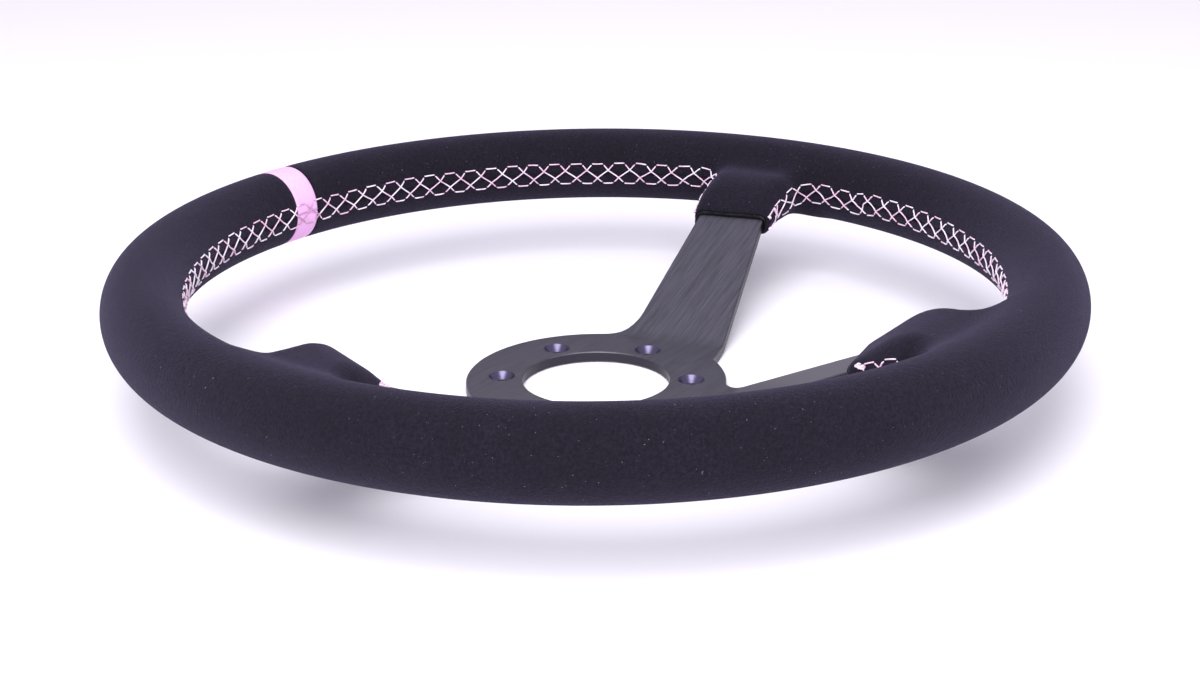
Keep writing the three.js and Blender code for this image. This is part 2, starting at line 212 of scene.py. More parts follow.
class WheelStageSettings(bpy.types.PropertyGroup):
    floor: colour("Floor", (0.93, 0.905, 0.965), "Colour of the floor")
    eye: FloatVectorProperty(
        name="Eye", default=(-0.5635, -0.3891, 0.2687), description="Place of the camera",
        subtype="TRANSLATION", unit="LENGTH")
    target: FloatVectorProperty(
        name="Target", default=(-0.0514, -0.0372, 0.0428), description="Point that the camera looks at",
        subtype="TRANSLATION", unit="LENGTH")
    lens: FloatProperty(name="Lens", default=59.65, description="Focal length in millimetres")
    roll: FloatProperty(
        name="Roll", default=math.radians(-0.48), description="Turn of the camera about its view",
        unit="ROTATION")


# ---- Shapes shared by the pieces ----

def smooth_step(x):
    x = np.clip(x, 0, 1)
    return x * x * (3 - 2 * x)


def smooth_min(a, b, blend):
    near = np.maximum(blend - np.abs(a - b), 0) / blend
    return np.minimum(a, b) - near * near * blend / 4


def plate_half_width(u):
    return SPOKE_HALF_WIDTH - SPOKE_TAPER * (u - SPOKE_WIDTH_AT)


def plate_rise(u):
    """Height and slope of the plate's top along a spoke, with rounded bends."""
    height = np.full(np.shape(u), PLATE)
    slope = np.zeros(np.shape(u))
    for bend, sign in ((SPOKE_BEND, 1), (SEAT_BEND, -1)):
        x = np.clip((u - bend) / BEND_ROUND, -1, 1)
        past = np.maximum(u - bend - BEND_ROUND, 0)
        height = height + sign * SPOKE_SLOPE * (BEND_ROUND * (x + 1) ** 2 / 4 + past)
        slope = slope + sign * SPOKE_SLOPE * (x + 1) / 2
    return height, slope


def root_top(spoke, u, s):
    """Height of a wrapped root's top: steeper than the plate, then level on to the rim."""
    past, shift = spoke.past_lip(u, s)
    lip_height = plate_rise(spoke.lip)[0] + FLAP_LIFT + SPOKE_SLOPE * shift
    return smooth_min(lip_height + spoke.climb * past, RIM_PLANE + spoke.crest, CREST_ROUND)


def root_bottom(spoke, u, s):
    """Height of a wrapped root's underside, on one straight slope from its lip to the rim."""
    past, shift = spoke.past_lip(u, s)
    lip_height = plate_rise(spoke.lip)[0] - PLATE_FALL - FLAP_LIFT + 0.6 * MM + SPOKE_SLOPE * shift
    rim_height = RIM_PLANE - 0.75 * GRIP_HALF_DEPTH
    return lip_height + (rim_height - lip_height) * past / (ROOT_MEETS_RIM - spoke.lip - shift)


def root_half_width(spoke, u, s):
    """Half width of a wrapped root, which swells past its lip and flares into the rim."""
    past, _ = spoke.past_lip(u, s)
    lip_half = plate_half_width(spoke.lip) + FLAP_LIFT
    flare = np.where(s > 0, spoke.flares[1], spoke.flares[-1])
    swell = SWELL * smooth_step((past - SWELL_START) / SWELL_LENGTH)
    spread = SPREAD * np.clip((u - SPREAD_START) / SPREAD_LENGTH, 0, 1.1) ** 2
    return lip_half + flare * (swell + spread)


def root_distance(spoke, points):
    """Rough distance from a wrapped root's surface. Its long edges soften past the lip."""
    suede = bpy.context.scene.wheel_suede
    u, s = spoke.local(points)
    past, _ = spoke.past_lip(u, s)
    top = root_top(spoke, u, s)
    bottom = root_bottom(spoke, u, s)
    edge = suede.lip_round + 9 * MM * smooth_step(past / (28 * MM))
    edge = np.minimum(edge, 0.45 * (top - bottom))
    x = np.abs(s) - root_half_width(spoke, u, s) + edge
    z = np.abs(points[..., 2] - (top + bottom) / 2) - (top - bottom) / 2 + edge
    across = np.hypot(np.maximum(x, 0), np.maximum(z, 0)) + np.minimum(np.maximum(x, z), 0) - edge
    ends = np.maximum(-8 * MM - past, u - (TUBE_RADIUS - 9 * MM))
    return np.maximum(across, ends)


def ring_distance(points):
    """Distance from the rim's oval tube, close enough near its surface."""
    across = np.hypot(points[..., 0], points[..., 1]) - TUBE_RADIUS
    up = points[..., 2] - RIM_PLANE
    near = np.hypot(across / GRIP_HALF_WIDTH, up / GRIP_HALF_DEPTH)
    steep = np.hypot(across / GRIP_HALF_WIDTH ** 2, up / GRIP_HALF_DEPTH ** 2)
    return near * (near - 1) / np.maximum(steep, 1e-6)


def grip_distance(points):
    """Rough distance from the wrapped grip's surface, negative inside."""
    distance = ring_distance(points)
    for spoke in SPOKES:
        distance = smooth_min(distance, root_distance(spoke, points), bpy.context.scene.wheel_suede.blend)
    return distance


def gradient(points):
    """Slope of the grip's distance, by small steps each way."""
    step = 0.05 * MM
    slopes = []
    for axis in range(3):
        shift = np.zeros(3)
        shift[axis] = step
        slopes.append((grip_distance(points + shift) - grip_distance(points - shift)) / (2 * step))
    return np.stack(slopes, axis=-1)


def onto_grip(points, passes=4, level=False):
    """Moves points onto the grip's surface, and only sideways if level is set."""
    for _ in range(passes):
        slope = gradient(points)
        if level:
            slope[..., 2] = 0
        steep = np.maximum((slope ** 2).sum(-1), 1e-3)
        move = np.clip(grip_distance(points) / steep, -2 * MM, 2 * MM)
        points = points - slope * move[..., None]
    return points


def grip_normals(points):
    slope = gradient(points)
    return slope / np.linalg.norm(slope, axis=-1, keepdims=True)


def seam_height(points):
    """Height of the sewn seam: level round the rim and falling along the roots' sides."""
    height = np.full(points.shape[:-1], SEAM_HEIGHT)
    for spoke in SPOKES:
        u, s = spoke.local(points)
        middle = (root_top(spoke, u, s) + root_bottom(spoke, u, s)) / 2
        share = smooth_step((147 * MM - u) / (22 * MM)) * (np.abs(s) < 50 * MM) * (u > 80 * MM)
        height = height + share * (middle - height)
    return height


# ---- Meshes and objects ----

def add_object(name, mesh):
    piece = bpy.data.objects.new(name, mesh)
    bpy.context.scene.collection.objects.link(piece)
    return piece


def mesh_from(name, verts, faces):
    mesh = bpy.data.meshes.new(name)
    mesh.from_pydata([tuple(v) for v in verts], [], faces)
    return mesh


def closed_grid(rows, columns):
    """Faces of a grid of points that closes on itself both ways."""
    faces = []
    for row in range(rows):
        here, below = row * columns, (row + 1) % rows * columns
        for i in range(columns):
            j = (i + 1) % columns
            faces.append((here + i, here + j, below + j, below + i))
    return faces


def evaluated_copy(piece, name):
    """A plain mesh of the piece with its modifiers applied."""
    graph = bpy.context.evaluated_depsgraph_get()
    mesh = bpy.data.meshes.new_from_object(piece.evaluated_get(graph))
    mesh.name = name
    return mesh


def mesh_points(mesh):
    points = np.empty(len(mesh.vertices) * 3)
    mesh.vertices.foreach_get("co", points)
    return points.reshape(-1, 3)


def set_mesh_points(mesh, points):
    mesh.vertices.foreach_set("co", points.ravel())
    mesh.update()


def bm_points(bm):
    return np.array([v.co[:] for v in bm.verts])


def set_bm_points(bm, points):
    for vert, point in zip(bm.verts, points):
        vert.co = point


def finish_piece(piece, material, slot, *nodes):
    """Gives a piece its material, puts it under the root body and hides the frame's nodes that it stands
    in for.
    """
    piece.data.materials.clear()
    piece.data.materials.append(material)
    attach(piece, "root")
    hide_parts(*nodes)


def shade(mesh, sharp_angle=None):
    """Smooth shading, with edges past the given angle kept sharp."""
    mesh.shade_smooth()
    if sharp_angle:
        mesh.set_sharp_from_angle(angle=sharp_angle)


def remove_object(piece):
    """Removes a helper object, and its mesh where nothing else uses it."""
    mesh = piece.data
    bpy.data.objects.remove(piece)
    if mesh and mesh.users == 0:
        bpy.data.meshes.remove(mesh)


# ---- Materials ----

class Finish:
    """A material under construction, with its shader and a few shorthands."""

    def __init__(self, name, base, roughness, metallic=0.0):
        self.material = bpy.data.materials.new(name)
        self.material.use_nodes = True
        self.nodes = self.material.node_tree.nodes
        self.links = self.material.node_tree.links
        self.shader = self.nodes["Principled BSDF"]
        self.shader.inputs["Base Color"].default_value = (*base, 1)
        self.shader.inputs["Roughness"].default_value = roughness
        self.shader.inputs["Metallic"].default_value = metallic
        self.place = self.nodes.new("ShaderNodeTexCoord")

    def set(self, **values):
        for name, value in values.items():
            socket = name.replace("_", " ").title().replace("Ior", "IOR")
            self.shader.inputs[socket].default_value = value

    def noise(self, scale, detail=2.0, roughness=0.5, source=None):
        node = self.nodes.new("ShaderNodeTexNoise")
        node.inputs["Scale"].default_value = scale
        node.inputs["Detail"].default_value = detail
        node.inputs["Roughness"].default_value = roughness
        self.links.new(source or self.place.outputs["Object"], node.inputs["Vector"])
        return node.outputs["Fac"]

    def stretch(self, scale, source):
        node = self.nodes.new("ShaderNodeMapping")
        node.inputs["Scale"].default_value = scale
        self.links.new(source, node.inputs["Vector"])
        return node.outputs["Vector"]

    def remap(self, value, low, high, out_low=0.0, out_high=1.0):
        node = self.nodes.new("ShaderNodeMapRange")
        node.inputs["From Min"].default_value = low
        node.inputs["From Max"].default_value = high
        node.inputs["To Min"].default_value = out_low
        node.inputs["To Max"].default_value = out_high
        self.links.new(value, node.inputs["Value"])
        return node.outputs["Result"]

    def mix(self, share, first, second):
        """Mixes two colours, given as numbers or as outputs."""
        node = self.nodes.new("ShaderNodeMix")
        node.data_type = "RGBA"
        self.links.new(share, node.inputs["Factor"])
        for name, value in (("A", first), ("B", second)):
            socket = [s for s in node.inputs if s.name == name and s.type == "RGBA"][0]
            if isinstance(value, bpy.types.NodeSocket):
                self.links.new(value, socket)
            else:
                socket.default_value = (*value, 1)
        return [s for s in node.outputs if s.type == "RGBA"][0]

    def combine(self, operation, first, second):
        node = self.nodes.new("ShaderNodeMath")
        node.operation = operation
        for socket, value in zip(node.inputs, (first, second)):
            if isinstance(value, bpy.types.NodeSocket):
                self.links.new(value, socket)
            else:
                socket.default_value = value
        return node.outputs[0]

    def bump(self, height, distance, strength=1.0):
        node = self.nodes.new("ShaderNodeBump")
        node.inputs["Distance"].default_value = distance
        node.inputs["Strength"].default_value = strength
        self.links.new(height, node.inputs["Height"])
        self.links.new(node.outputs["Normal"], self.shader.inputs["Normal"])

    def attribute(self, name):
        node = self.nodes.new("ShaderNodeAttribute")
        node.attribute_name = name
        return node.outputs["Fac"]

    def distance(self, point):
        node = self.nodes.new("ShaderNodeVectorMath")
        node.operation = "DISTANCE"
        self.links.new(self.place.outputs["Object"], node.inputs[0])
        node.inputs[1].default_value = point
        return node.outputs["Value"]

    def colour(self, output):
        self.links.new(output, self.shader.inputs["Base Color"])

    def rough(self, output):
        self.links.new(output, self.shader.inputs["Roughness"])


def scaled(tint, factor):
    return tuple(min(1.0, c * factor) for c in tint)


def suede_finish(tint, name, sheen, lint, depth):
    """Brushed suede: a fibrous nap with brushed patches, fine fibres and specks of lint."""
    finish = Finish(name, tint, 0.92)
    finish.set(specular_ior_level=0.18, sheen_weight=sheen, sheen_roughness=0.42)
    finish.shader.inputs["Sheen Tint"].default_value = (*bpy.context.scene.wheel_suede.nap, 1)
    patches = finish.remap(finish.noise(38, 3, 0.6), 0.32, 0.68)
    nap = finish.noise(900, 4, 0.75)
    fibres = finish.noise(2600, 2, 0.6)
    brushed = finish.mix(patches, scaled(tint, 0.82), scaled(tint, 1.16))
    grain = finish.remap(nap, 0.38, 0.66)
    napped = finish.mix(grain, scaled(tint, depth), brushed)
    speck = finish.remap(finish.noise(1500, 1, 0.4), 0.775, 0.8)
    finish.colour(finish.mix(speck, napped, lint))
    soft = finish.combine("MULTIPLY", nap, 0.7)
    height = finish.combine("ADD", soft, finish.combine("MULTIPLY", fibres, 0.5))
    finish.bump(height, 0.6 * MM, 0.9)
    return finish.material


def thread_finish():
    """Waxed thread with its ply showing as fine slanting ridges, and painted shade where it crosses the
    pink stripe.
    """
    tint = bpy.context.scene.wheel_thread.tint
    finish = Finish("waxed_thread", tint, 0.55)
    finish.set(specular_ior_level=0.4, sheen_weight=0.2, sheen_roughness=0.4)
    ply = finish.noise(1400, 2, 0.5)
    pale = finish.remap(finish.noise(210, 1, 0.4), 0.42, 0.58)
    strands = finish.mix(finish.remap(ply, 0.3, 0.7), scaled(tint, 0.84), scaled(tint, 1.08))
    waxed = finish.mix(pale, strands, (0.84, 0.74, 0.86))
    # Painted shade: near the stripe's middle the thread is mixed to a darker tint, standing in for the
    # stitches' shadows there.
    radius = TUBE_RADIUS + GRIP_HALF_WIDTH * math.cos(SEAM_ANGLE)
    stripe = (radius * math.cos(STRIPE_ANGLE), radius * math.sin(STRIPE_ANGLE), SEAM_HEIGHT)
    clear_of_stripe_shade = finish.remap(finish.distance(stripe), 6.0 * MM, 7.0 * MM)
    finish.colour(finish.mix(clear_of_stripe_shade, (0.5, 0.29, 0.43), waxed))
    finish.bump(ply, 0.12 * MM, 0.6)
    return finish.material


def plate_finish():
    """Black anodising over a straight brushed grain with painted shade on its upright cut edges, and
    smoother turned countersinks.
    """
    tint = bpy.context.scene.wheel_plate.anodised
    finish = Finish("anodised_plate", tint, 0.42, 0.85)
    place = finish.place.outputs["Object"]
    streaks = finish.noise(1.0, 3, 0.6, finish.stretch((90, 3000, 0), place))
    broad = finish.noise(1.0, 2, 0.5, finish.stretch((30, 600, 0), place))
    fine = finish.combine("MULTIPLY", streaks, 0.65)
    both = finish.combine("ADD", fine, finish.combine("MULTIPLY", broad, 0.35))
    brushed = finish.mix(finish.remap(both, 0.36, 0.64), scaled(tint, 0.72), scaled(tint, 1.3))
    # Painted shade: faces marked edge, which stand upright, are painted far darker than the brushed top,
    # standing in for their shade and dark reflections.
    cut = finish.mix(finish.attribute("edge"), brushed, scaled(tint, 0.4))
    turned = finish.attribute("turned")
    violet = (tint[0] * 0.9, tint[1] * 0.85, tint[2] * 1.15)
    finish.colour(finish.mix(turned, cut, violet))
    grain = finish.remap(both, 0.3, 0.7, 0.38, 0.5)
    finish.rough(finish.combine("SUBTRACT", grain, finish.combine("MULTIPLY", turned, 0.14)))
    finish.bump(both, 0.04 * MM, 0.5)
    return finish.material


def bead_finish():
    """Glossy black sealer, a little uneven from being brushed on."""
    tint = bpy.context.scene.wheel_plate.bead
    finish = Finish("sealing_bead", tint, 0.2)
    finish.set(specular_ior_level=0.14)
    waves = finish.noise(420, 2, 0.5)
    finish.rough(finish.remap(waves, 0.3, 0.7, 0.2, 0.42))
    finish.bump(waves, 0.15 * MM, 0.5)
    return finish.material


def steel_finish():
    """Plain drawn steel, hidden inside the grip."""
    base = (0.5, 0.51, 0.53)
    finish = Finish("plain_steel", base, 0.42, 0.95)
    cloud = finish.noise(120, 3, 0.6)
    finish.colour(finish.mix(cloud, scaled(base, 0.8), scaled(base, 1.1)))
    finish.rough(finish.remap(cloud, 0.3, 0.7, 0.32, 0.5))
    finish.bump(finish.noise(1800, 2), 0.03 * MM, 0.4)
    return finish.material


def foam_finish():
    """Moulded polyurethane foam, hidden under the suede."""
    base = (0.03, 0.03, 0.032)
    finish = Finish("moulded_foam", base, 0.85)
    cells = finish.noise(700, 3, 0.6)
    finish.colour(finish.mix(cells, scaled(base, 0.7), scaled(base, 1.4)))
    finish.bump(cells, 0.2 * MM, 0.6)
    return finish.material


def floor_finish():
    finish = Finish("studio_floor", bpy.context.scene.wheel_stage.floor, 0.9)
    finish.set(specular_ior_level=0.0)
    return finish.material


# ---- Spoke plate ----

def fillet_arc(spoke, side):
    """Points of the fillet from the hub's circle out to one edge of the spoke."""
    radius = spoke.fillets[side]
    lean = math.hypot(1, SPOKE_TAPER)
    outward = np.array([SPOKE_TAPER, side]) / lean
    edge = (SPOKE_HALF_WIDTH + SPOKE_TAPER * SPOKE_WIDTH_AT + side * spoke.offset) / lean
    clear = edge + radius
    reach = math.sqrt((HUB_RADIUS + radius) ** 2 - clear ** 2)
    centre = outward * clear + np.array([1, -side * SPOKE_TAPER]) / lean * reach
    first = math.atan2(-centre[1], -centre[0])
    last = math.atan2(-outward[1], -outward[0])
    turn = (last - first + math.pi) % (2 * math.pi) - math.pi
    turns = first + turn * np.linspace(0, 1, 14)
    return centre + radius * np.stack([np.cos(turns), np.sin(turns)], axis=-1)


def plate_outline():
    """The plate's plan, anticlockwise: for each spoke its two fillets and its end, then the hub."""
    stretches = []
    for spoke in SPOKES:
        basis = np.stack([spoke.along, spoke.across])
        end_half = plate_half_width(SPOKE_END)
        end = [[SPOKE_END, spoke.offset - end_half], [SPOKE_END, spoke.offset + end_half]]
        flank = np.concatenate([fillet_arc(spoke, -1), end, fillet_arc(spoke, 1)[::-1]])
        stretches.append(flank @ basis)
    outline = []
    for index, stretch in enumerate(stretches):
        outline.extend(stretch)
        here = math.atan2(stretch[-1][1], stretch[-1][0])
        following = stretches[(index + 1) % len(stretches)][0]
        sweep = (math.atan2(following[1], following[0]) - here) % (2 * math.pi)
        count = max(2, int(sweep / math.radians(2.5)))
        for step in range(1, count):
            turn = here + sweep * step / count
            outline.append(HUB_RADIUS * np.array([math.cos(turn), math.sin(turn)]))
    return np.array(outline)


def inset_outline(outline, inset):
    """The outline moved inward, with its corners mitred."""
    before = outline - np.roll(outline, 1, axis=0)
    after = np.roll(outline, -1, axis=0) - outline
    before /= np.linalg.norm(before, axis=1, keepdims=True)
    after /= np.linalg.norm(after, axis=1, keepdims=True)
    middle = before + after
    middle /= np.linalg.norm(middle, axis=1, keepdims=True)
    miter = 1 / np.maximum((middle * after).sum(1), 0.3)
    inward = np.stack([-middle[:, 1], middle[:, 0]], axis=1)
    return outline + inward * (inset * miter)[:, None]


def circle(centre, radius, count):
    turns = np.linspace(0, 2 * math.pi, count, endpoint=False)
    return np.array(centre) + radius * np.stack([np.cos(turns), np.sin(turns)], axis=1)


def add_wall(bm, rings, inside):
    """Walls between loops of the same count, from the lowest up. Holes turn the other way."""
    loops = [[bm.verts.new((*point, z)) for point in plan] for plan, z in rings]
    for lower, upper in zip(loops, loops[1:]):
        count = len(lower)
        for i in range(count):
            j = (i + 1) % count
            face = [lower[i], lower[j], upper[j], upper[i]]
            bm.faces.new(face[::-1] if inside else face)
    return loops[0], loops[-1]


def cap_face(bm, loops, up):
    """Closes one side of the plate between its outline and its holes."""
    verts = [vert for loop in loops for vert in loop]
    for corners in tessellate_polygon([[v.co for v in loop] for loop in loops]):
        face = bm.faces.new([verts[i] for i in corners])
        face.normal_update()
        if (face.normal.z > 0) != up:
            face.normal_flip()


def flat_plate(chamfer):
    """The plate before it is bent, with its edges broken and its holes countersunk."""
    bm = bmesh.new()
    outline = plate_outline()
    inner = inset_outline(outline, chamfer)
    walls = [add_wall(bm, [
        (inner, 0), (outline, chamfer), (outline, PLATE - chamfer), (inner, PLATE)], False)]
    wide = circle((0, 0), BORE_RADIUS + chamfer, BORE_SIDES)
    bore = circle((0, 0), BORE_RADIUS, BORE_SIDES)
    walls.append(add_wall(bm, [
        (wide, 0), (bore, chamfer), (bore, PLATE - chamfer), (wide, PLATE)], True))
    sink = COUNTERSINK_RADIUS - BOLT_HOLE_RADIUS
    for index in range(BOLT_COUNT):
        turn = 2 * math.pi * index / BOLT_COUNT
        centre = (BOLT_CIRCLE_RADIUS * math.cos(turn), BOLT_CIRCLE_RADIUS * math.sin(turn))
        rings = (
            (BOLT_HOLE_RADIUS + HOLE_EDGE, 0),
            (BOLT_HOLE_RADIUS, HOLE_EDGE),
            (BOLT_HOLE_RADIUS, PLATE - sink - SINK_EDGE),
            (COUNTERSINK_RADIUS, PLATE - SINK_EDGE),
            (COUNTERSINK_RADIUS + SINK_FLARE, PLATE))
        walls.append(add_wall(
            bm, [(circle(centre, radius, HOLE_SIDES), z) for radius, z in rings], True))
    cap_face(bm, [low for low, _ in walls], False)
    cap_face(bm, [high for _, high in walls], True)
    return bm


def bend_plate(bm):
    """Cuts the flat plate across its bends and lifts the spokes."""
    for spoke in SPOKES:
        normal = Vector((*spoke.along, 0))
        for bend in (SPOKE_BEND, SEAT_BEND):
            for step in np.linspace(-BEND_ROUND, BEND_ROUND, 9):
                geometry = bm.verts[:] + bm.edges[:] + bm.faces[:]
                bmesh.ops.bisect_plane(
                    bm, geom=geometry, dist=1e-6, plane_co=normal * (bend + step), plane_no=normal)
    points = bm_points(bm)
    for spoke in SPOKES:
        u, _ = spoke.local(points)
        height, slope = plate_rise(u)
        raised = u > SPOKE_BEND - BEND_ROUND
        lifted = height - (PLATE - points[:, 2]) * np.hypot(1, slope)
        points[:, 2] = np.where(raised, lifted, points[:, 2])
    set_bm_points(bm, points)


def mark_cuts(mesh):
    """Marks the countersinks and the plate's cut edges, which have no brushed grain; the upright cut
    edges get painted shade.
    """
    turned = mesh.attributes.new("turned", "FLOAT", "FACE")
    edge = mesh.attributes.new("edge", "FLOAT", "FACE")
    reach = COUNTERSINK_RADIUS + 0.5 * MM
    for i, face in enumerate(mesh.polygons):
        off_circle = abs(math.hypot(*face.center[:2]) - BOLT_CIRCLE_RADIUS)
        turned.data[i].value = float(off_circle < reach and 0.3 < face.normal.z < 0.85)
        # Upright faces are marked edge, for the finish to paint them dark as painted shade.
        edge.data[i].value = float(abs(face.normal.z) < 0.3)


def make_spoke_plate():
    settings = bpy.context.scene.wheel_plate
    bm = flat_plate(settings.chamfer)
    bend_plate(bm)
    bmesh.ops.dissolve_degenerate(bm, dist=1e-6, edges=bm.edges[:])
    mesh = bpy.data.meshes.new("plate")
    bm.to_mesh(mesh)
    bm.free()
    shade(mesh, math.radians(28))
    mark_cuts(mesh)
    finish_piece(add_object("bent_plate", mesh), plate_finish(), "anodised_plate", "spoke_plate")


# ---- Suede cover and stripe ----

def rough_grip():
    """A closed rough shape of the ring and its roots, to be remeshed."""
    bm = bmesh.new()
    around, section = 120, 20
    rings = []
    for i in range(around):
        turn = 2 * math.pi * i / around
        ring = []
        for j in range(section):
            side = 2 * math.pi * j / section
            radius = TUBE_RADIUS + GRIP_HALF_WIDTH * math.cos(side)
            height = RIM_PLANE + GRIP_HALF_DEPTH * math.sin(side)
            ring.append(bm.verts.new((radius * math.cos(turn), radius * math.sin(turn), height)))
        rings.append(ring)
    for i in range(around):
        for j in range(section):
            here, following = rings[i], rings[(i + 1) % around]
            k = (j + 1) % section
            bm.faces.new([here[j], following[j], following[k], here[k]])
    for spoke in SPOKES:
        loops = []
        lead = abs(spoke.slant) * SLANT_LIMIT + 7 * MM
        for u in np.linspace(spoke.lip - lead, TUBE_RADIUS - 6 * MM, 18):
            corners = []
            for side, upper in ((-1, False), (1, False), (1, True), (-1, True)):
                s = side * (float(root_half_width(spoke, u, side * ROOT_SIDE)) - 1 * MM)
                if upper:
                    height = float(root_top(spoke, u, s)) - 0.5 * MM
                else:
                    height = float(root_bottom(spoke, u, s)) + 0.5 * MM
                corners.append((s, height))
            loops.append([bm.verts.new(spoke.world(u, s, z)) for s, z in corners])
        for near, far in zip(loops, loops[1:]):
            for i in range(4):
                bm.faces.new([near[i], near[(i + 1) % 4], far[(i + 1) % 4], far[i]])
        bm.faces.new(loops[0][::-1])
        bm.faces.new(loops[-1])
    bmesh.ops.recalc_face_normals(bm, faces=bm.faces[:])
    mesh = bpy.data.meshes.new("rough_grip")
    bm.to_mesh(mesh)
    bm.free()
    return add_object("rough_grip", mesh)


def relax(mesh, passes):
    """Evens out the spacing of a mesh's points while they stay on the grip's surface."""
    edges = np.empty(len(mesh.edges) * 2, dtype=int)
    mesh.edges.foreach_get("vertices", edges)
    first, second = edges.reshape(-1, 2).T
    count = np.bincount(edges, minlength=len(mesh.vertices))
    points = onto_grip(mesh_points(mesh))
    for _ in range(passes):
        total = np.zeros_like(points)
        np.add.at(total, first, points[second])
        np.add.at(total, second, points[first])
        points = onto_grip(points + 0.5 * (total / count[:, None] - points), 1)
    set_mesh_points(mesh, onto_grip(points, 2))


def cut_level(bm, values):
    """Splits faces along the line where the values at the vertices pass through zero."""
    added = []
    for edge in bm.edges[:]:
        start, end = edge.verts
        a, b = values[start.index], values[end.index]
        if a * b < 0:
            added.append(bmesh.utils.edge_split(edge, start, a / (a - b))[1])
    bmesh.ops.connect_verts(bm, verts=added)
    bm.verts.index_update()


def stripe_turn(points):
    """Angle round the wheel from the stripe's middle."""
    turn = np.arctan2(points[..., 1], points[..., 0]) - STRIPE_ANGLE
    return (turn + math.pi) % (2 * math.pi) - math.pi


def depth_past_lip(points):
    """How far each point lies past its root's lip, on the rim side, and a large value elsewhere."""
    depth = np.full(points.shape[:-1], 1.0)
    for spoke in SPOKES:
        u, s = spoke.local(points)
        past, _ = spoke.past_lip(u, s)
        near = (np.abs(s) < ROOT_NEAR) & (u > ROOT_START) & (past < 25 * MM)
        depth = np.where(near, past, depth)
    return depth


def seam_offset(points):
    """Height above the sewn seam on the grip's inner side, and a large value elsewhere."""
    inner = np.hypot(points[:, 0], points[:, 1]) < TUBE_RADIUS - 5 * MM
    offset = points[:, 2] - seam_height(points)
    steep = np.abs(grip_normals(points)[:, 2]) < 0.75
    return np.where(inner & steep & (np.abs(offset) < 6 * MM), offset, 1.0)


def cut_where(bm, measure, at):
    """Cuts a mesh along the line where a measure of its points has the given value."""
    values = measure(bm_points(bm)) - at
    values = np.where(np.abs(values) > 0.5, np.nan, values)
    values = np.where(np.abs(values) < 1e-7, 1e-7, values)
    cut_level(bm, values)


def remove_faces(bm, unwanted):
    """Deletes the faces whose centres are unwanted."""
    centres = np.array([face.calc_center_median()[:] for face in bm.faces])
    doomed = [face for face, gone in zip(bm.faces[:], unwanted(centres)) if gone]
    bmesh.ops.delete(bm, geom=doomed, context="FACES")
    bm.verts.index_update()


def suede_skin(mesh, stripe, levels):
    """One face of the suede, cut at the lips and at the stripe.

    Levels add lines along the cuts and the seam, for the edges and the groove to turn on.
    """
    bm = bmesh.new()
    bm.from_mesh(mesh)
    half = STRIPE_HALF_SPAN if stripe else STRIPE_HALF_SPAN + STRIPE_GAP
    inward = -1 if stripe else 1
    if stripe:
        remove_faces(bm, lambda centres: np.abs(stripe_turn(centres)) > 3 * half)
    else:
        cut_where(bm, depth_past_lip, 0)
        remove_faces(bm, lambda centres: depth_past_lip(centres) < 0)
    for side in (-1, 1):
        cut_where(bm, lambda points: side * stripe_turn(points), half)
    remove_faces(bm, lambda centres: (np.abs(stripe_turn(centres)) < half) != stripe)
    if levels:
        for step in (0.18, 0.45):
            for side in (-1, 1):
                edge = half + inward * math.radians(step)
                cut_where(bm, lambda points: side * stripe_turn(points), edge)
        if not stripe:
            for step in (0.5 * MM, 1.2 * MM, 2.2 * MM):
                cut_where(bm, depth_past_lip, step)
        width = bpy.context.scene.wheel_suede.groove_width
        for step in (0, -0.55, 0.55, -1.2, 1.2, -2.2, 2.2):
            cut_where(bm, seam_offset, step * width + 1e-6)
    return bm


EDGE_ROLL = 0.5 * MM  # how far the suede's edges beside the stripe roll under
EDGE_ROLL_WIDTH = 0.55 * MM
LIP_ROLL = 0.6 * MM  # and its edges at the lips
LIP_ROLL_WIDTH = 0.9 * MM


def roll_edges(bm, stripe):
    """Sinks the butted seam and rolls the cut edges under."""
    settings = bpy.context.scene.wheel_suede
    points = onto_grip(bm_points(bm), 2)
    normals = grip_normals(points)
    seam = settings.groove_depth * np.exp(-(seam_offset(points) / settings.groove_width) ** 2)
    from_stripe = np.abs(np.abs(stripe_turn(points)) - STRIPE_HALF_SPAN) * TUBE_RADIUS
    edge = EDGE_ROLL * np.exp(-from_stripe / EDGE_ROLL_WIDTH)
    lip = np.zeros(len(points))
    if not stripe:
        lip = LIP_ROLL * np.exp(-depth_past_lip(points) / LIP_ROLL_WIDTH)
    set_bm_points(bm, points - normals * np.maximum.reduce([seam, edge, lip])[:, None])


def close_skin(outer, inner):
    """Joins the two faces of the suede into one closed shell."""
    points = bm_points(inner)
    inner_points = points - grip_normals(points) * SUEDE
    joined = bmesh.new()
    copies = [joined.verts.new(point) for point in inner_points]
    for face in inner.faces:
        joined.faces.new([copies[v.index] for v in reversed(face.verts)])
    offset = len(copies)
    outer.verts.index_update()
    for vert in outer.verts:
        joined.verts.new(vert.co)
    joined.verts.ensure_lookup_table()
    for face in outer.faces:
        joined.faces.new([joined.verts[offset + v.index] for v in face.verts])
    joined.verts.index_update()
    groups = edge_loops([edge for edge in joined.edges if edge.is_boundary])
    inner_loops = [loop for loop in groups if loop[0].verts[0].index < offset]
    outer_loops = [loop for loop in groups if loop[0].verts[0].index >= offset]
    for loop in outer_loops:
        middle = loop_middle(loop)
        partner = min(inner_loops, key=lambda each: (loop_middle(each) - middle).length)
        bmesh.ops.bridge_loops(joined, edges=loop + partner)
    bmesh.ops.recalc_face_normals(joined, faces=joined.faces[:])
    return joined


